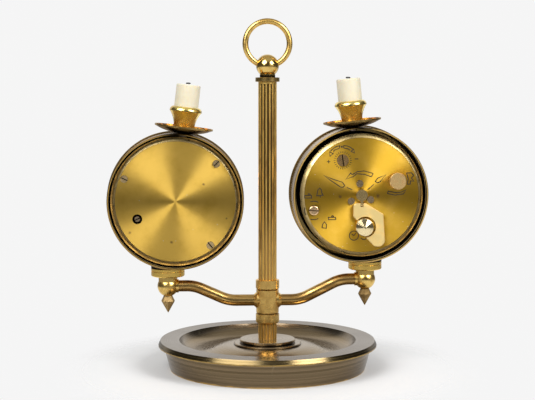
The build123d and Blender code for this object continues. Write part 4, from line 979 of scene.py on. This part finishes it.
# A head's piece, its side, the level in mm from the plate's face below which shade is painted, its clean
# and aged colour
heads = (
    ("barometer_plate_screws", "barometer", 0.62, colour(0.95, 0.70, 0.36), colour(0.62, 0.42, 0.20)),
    ("adjusting_screw", "barometer", -0.8, colour(0.50, 0.38, 0.24), colour(0.30, 0.20, 0.12)),
    ("aneroid_spring", "barometer", 5.0, grime_and_shade, grime_and_shade),
    ("clock_plate_screws", "clock", 0.3, colour(0.56, 0.42, 0.24), colour(0.30, 0.20, 0.12)),
    ("regulator_screw", "clock", 0.67, colour(0.66, 0.42, 0.18), colour(0.36, 0.21, 0.09)),
    ("winding_arbor", "clock", 0.4, colour(0.68, 0.50, 0.22), colour(0.36, 0.25, 0.11)),
    ("alarm_button", "clock", 1.75, colour(0.98, 0.68, 0.38), colour(0.66, 0.42, 0.22)),
)
# Below its level each head is painted dark: shade in its slot and round its foot.
for name, side, shade_level, clean, aged in heads:
    finish = aged_brass(f"finish of {name}", clean, aged, patches=500.0, aging=0.4, roughness=0.24,
                        fineness=4000.0, dark_below=shade_level * mm,
                        centre=tuple(back_faces[side].origin), turn=facing_back)
    paint(finish, name)

# %% Knobs and key
copper = aged_brass("mottled copper", colour(1.0, 0.70, 0.30), colour(0.56, 0.32, 0.13),
                    patches=420.0, aging=0.45, roughness=0.32)
paint(copper, "alarm_knob")
below_all = -100 * mm
knob_plate = circular_brushed("plated knob", middle_of("time_knob"), colour(0.92, 0.76, 0.44),
                              colour(0.66, 0.50, 0.24), roughness=0.22, dark_below=below_all)
paint(knob_plate, "time_knob")
key_brass = aged_brass("satin key brass", colour(1.0, 0.77, 0.33), colour(0.95, 0.66, 0.24),
                       patches=160.0, aging=0.4, roughness=0.46)
paint(key_brass, "winding_key")

# %% Movements
inner_brass = aged_brass("movement brass", colour(0.78, 0.58, 0.24), colour(0.55, 0.38, 0.15),
                         patches=120.0, aging=0.4, roughness=0.3)
paint(inner_brass, "aneroid_plate", "aneroid_bridge", "movement_frame", "mainspring_barrel",
      "minute_wheel", "alarm_hand", "barometer_marker")
capsule_metal = aged_brass("capsule nickel silver", colour(0.70, 0.68, 0.62), colour(0.5, 0.47, 0.4),
                           patches=120.0, aging=0.4, roughness=0.25)
paint(capsule_metal, "aneroid_capsule")

# %% [markdown]
# ## Wax, enamel, ink, felt and glass
#
# Wax lets light in below its surface, so it gets some subsurface scattering and a faint bloom. The dial
# enamel is off-white with the finest speckle. Ink and hands are satin black. Felt is rough, with fibres
# that catch the light at a low angle, which is what sheen is for. The glass is clear.

# %% Candle wax
wax, tree, shader, vector, clouds = clouded_finish(
    "candle wax", colour(0.66, 0.61, 0.47), colour(0.61, 0.54, 0.38), patches=110.0, aging=0.4,
    softness=0.2, roughness=0.38, spread=0.2, Subsurface_Weight=0.35, Subsurface_Scale=0.004,
    Subsurface_Radius=(1.0, 0.7, 0.4), IOR=1.44, Coat_Weight=0.15, Coat_Roughness=0.25)
scratches = use_group(tree, hairlines, Vector=vector, Scale=90.0, Thinness=0.01, Share=0.4)["Mask"]
relief = calculate(tree, "ADD", clouds["Mask"], scratches)
wire(tree, shader, Normal=bump(tree, relief, 0.08, 0.1 * mm))
paint(wax, "barometer_candle", "clock_candle")

# %% Dial enamel
enamel, tree, shader, vector, clouds = clouded_finish(
    "dial enamel", colour(0.84, 0.81, 0.72), colour(0.76, 0.72, 0.60), patches=40.0, aging=0.4,
    softness=0.25, roughness=0.42, spread=0.15, Coat_Weight=0.3, Coat_Roughness=0.2)
dots = use_group(tree, specks, Vector=vector, Density=420.0, Size=0.14)["Mask"]
wire(tree, shader, Base_Color=blend_colors(tree, dots, clouds["Color"], colour(0.5, 0.43, 0.3)))
paint(enamel, "barometer_dial", "clock_dial")

# %% Ink and blackened hands
ink = clouded_finish("printing ink", colour(0.012, 0.009, 0.005), colour(0.04, 0.028, 0.013),
                     patches=900.0, aging=0.35, softness=0.1, roughness=0.45, spread=0.2)[0]
paint(ink, "clock_back_marks", "clock_dial_scale", "barometer_dial_scale")
blacked = clouded_finish("blackened steel", colour(0.018, 0.018, 0.022), colour(0.05, 0.045, 0.04),
                         patches=500.0, aging=0.4, softness=0.2, roughness=0.35, spread=0.3,
                         Coat_Weight=0.4, Coat_Roughness=0.3)[0]
paint(blacked, "barometer_needle", "minute_hand", "hour_hand", "barometer_wick", "clock_wick")

# %% Felt
felt, tree, shader, vector, fibres = clouded_finish(
    "base felt", colour(0.03, 0.08, 0.045), colour(0.015, 0.04, 0.025), patches=1500.0, aging=0.5,
    softness=0.2, roughness=0.88, spread=0.1, Sheen_Weight=0.6, Sheen_Roughness=0.5)
wire(tree, shader, Normal=bump(tree, fibres["Mask"], 0.5, 0.2 * mm))
paint(felt, "felt_pad")

# %% Glass
glass, tree, shader, vector = start_finish("clock glass", Transmission_Weight=1.0, IOR=1.46)
dust = use_group(tree, specks, Vector=vector, Density=300.0, Size=0.1)["Mask"]
wire(tree, shader, Base_Color=blend_colors(tree, dust, colour(0.97, 0.985, 0.98), colour(0.8, 0.8, 0.76)),
     Roughness=calculate(tree, "MULTIPLY_ADD", dust, 0.3, 0.01))
paint(glass, "barometer_glass", "clock_glass")

# %% [markdown]
# ## Studio
#
# The object stands on a pale sheet in front of a white backdrop. Polished brass looks like brass only
# if it mirrors both light and dark, so the room in front of the object is dark and holds two large soft
# lamps, high on the left and on the right. In reflections the backdrop is bright only within a cone
# straight behind the object: a wider one would light the edges of every ball and tube. The table below
# and the ceiling above are bright too. To the camera the surroundings are plain near-white. The sheet
# is solid round the object, where its shadow falls, and fades into the white further out.
#
# The world's brightness is worked out from the direction of a ray, whose parts run from -1 to 1.

# %% World
backdrop_white = colour(0.915, 0.915, 0.915)
room_level = 0.082
behind_level, behind_rise = 0.40, 0.57
table_level, ceiling_level = 0.95, 0.5
behind_from, behind_to = 0.5, 0.8
horizon_from, horizon_to = 0.06, 0.15
table_from, table_to = -0.08, -0.25
ceiling_from, ceiling_to = 0.45, 0.85

world = bpy.data.worlds.new("studio")
bpy.context.scene.world = world
world.use_nodes = True
tree = world.node_tree
tree.nodes.clear()
ways = add_node(tree, "SeparateXYZ", {0: add_node(tree, "TexCoord").outputs["Generated"]}).outputs
upper = smooth_step(tree, ways["Z"], horizon_from, horizon_to)
behind = calculate(tree, "MULTIPLY", smooth_step(tree, ways["Y"], behind_from, behind_to),
                   calculate(tree, "MULTIPLY_ADD", upper, behind_rise, behind_level))
table = calculate(tree, "MULTIPLY", smooth_step(tree, ways["Z"], table_from, table_to), table_level)
ceiling = calculate(tree, "MULTIPLY", smooth_step(tree, ways["Z"], ceiling_from, ceiling_to),
                    ceiling_level)
surround = calculate(tree, "MAXIMUM", calculate(tree, "MAXIMUM", behind, table),
                     calculate(tree, "MAXIMUM", ceiling, room_level))
rays = add_node(tree, "LightPath").outputs
seen = calculate(tree, "MAXIMUM", rays["Is Camera Ray"], rays["Is Transmission Ray"])
shade = add_node(tree, "CombineColor", {0: surround, 1: surround, 2: surround}).outputs[0]
surface = add_node(tree, "Background", {"Color": blend_colors(tree, seen, shade, backdrop_white)})
tree.links.new(surface.outputs[0], add_node(tree, "OutputWorld").inputs["Surface"])
print(world.name, "is worked out by", len(tree.nodes), "nodes")

# %% Pale sheet
sheet_radius = 0.5
sheet_drop = 0.2 * mm
fade_from, fade_to = 145 * mm, 80 * mm
angle = np.linspace(0, tau, 96, endpoint=False)
sheet_points = np.stack((sheet_radius * np.cos(angle), sheet_radius * np.sin(angle),
                         np.full_like(angle, -sheet_drop)), axis=1)
sheet_mesh = bpy.data.meshes.new("pale_sheet")
sheet_mesh.from_pydata(sheet_points, [], [list(range(len(angle)))])
sheet = bpy.data.objects.new("pale_sheet", sheet_mesh)
bpy.context.scene.collection.objects.link(sheet)

sheet_paper, tree, shader, vector = start_finish("pale sheet", Roughness=0.9, Specular_IOR_Level=0.2)
shader.inputs["Base Color"].default_value = colour(0.72, 0.72, 0.72)
distance = add_node(tree, "VectorMath", {0: vector}, operation="LENGTH").outputs["Value"]
wire(tree, shader, Alpha=smooth_step(tree, distance, fade_from, fade_to))
sheet_mesh.materials.append(sheet_paper)
print("the sheet is solid up to", round(fade_to / mm), "mm and gone at", round(fade_from / mm), "mm")

# %% Lamps
lamp_target = np.array((0, 0, 0.11))
lamp_distance = 1.15
lamp_tilt = 52


def soft_lamp(name, turn, size, power):
    """A square soft lamp aimed at the object, placed by its angles as the camera sees them.

    Turn runs from the right-hand side over the top, and tilt from straight ahead to the side. The
    lamp's first side lies across the radius, so the wedges on the brushed plates have sharp edges.
    """
    lamp = bpy.data.lights.new(name, "AREA")
    lamp.shape, lamp.size, lamp.size_y, lamp.energy = "RECTANGLE", size, size, power
    holder = bpy.data.objects.new(name, lamp)
    turn, tilt = np.radians((turn, lamp_tilt))
    way = np.array((np.sin(tilt) * np.cos(turn), -np.cos(tilt), np.sin(tilt) * np.sin(turn)))
    holder.location = lamp_target + lamp_distance * way
    across = np.array((-np.sin(turn), 0, np.cos(turn)))
    holder.rotation_mode = "QUATERNION"
    holder.rotation_quaternion = Matrix((across, np.cross(way, across), way)).transposed().to_quaternion()
    bpy.context.scene.collection.objects.link(holder)
    print(name, "at", np.round(holder.location, 2))


soft_lamp("left_softbox", turn=131, size=0.75, power=11.9)
soft_lamp("right_softbox", turn=40, size=0.55, power=11.6)

# %% [markdown]
# ## Camera
#
# The camera stands a little to the left of straight ahead, almost level with the top of the column, and
# looks slightly down. Its distance and lens were worked out from the photograph: the ellipse of the base
# gives the height, and the drums against the column give the distance.

# %% Camera
camera_turn = radians(-3.5)
camera_distance = 0.875
camera_height = 0.1866
camera_pitch = radians(4.97)
camera = bpy.data.cameras.new("camera")
camera.lens, camera.sensor_width = 90.57, 36.0
holder = bpy.data.objects.new("camera", camera)
holder.location = (camera_distance * np.sin(camera_turn), -camera_distance * np.cos(camera_turn),
                   camera_height)
holder.rotation_euler = (radians(90) - camera_pitch, 0, camera_turn)
bpy.context.scene.collection.objects.link(holder)
bpy.context.scene.camera = holder
bpy.context.scene.view_settings.view_transform = "Standard"
print("camera at", np.round(holder.location, 3))
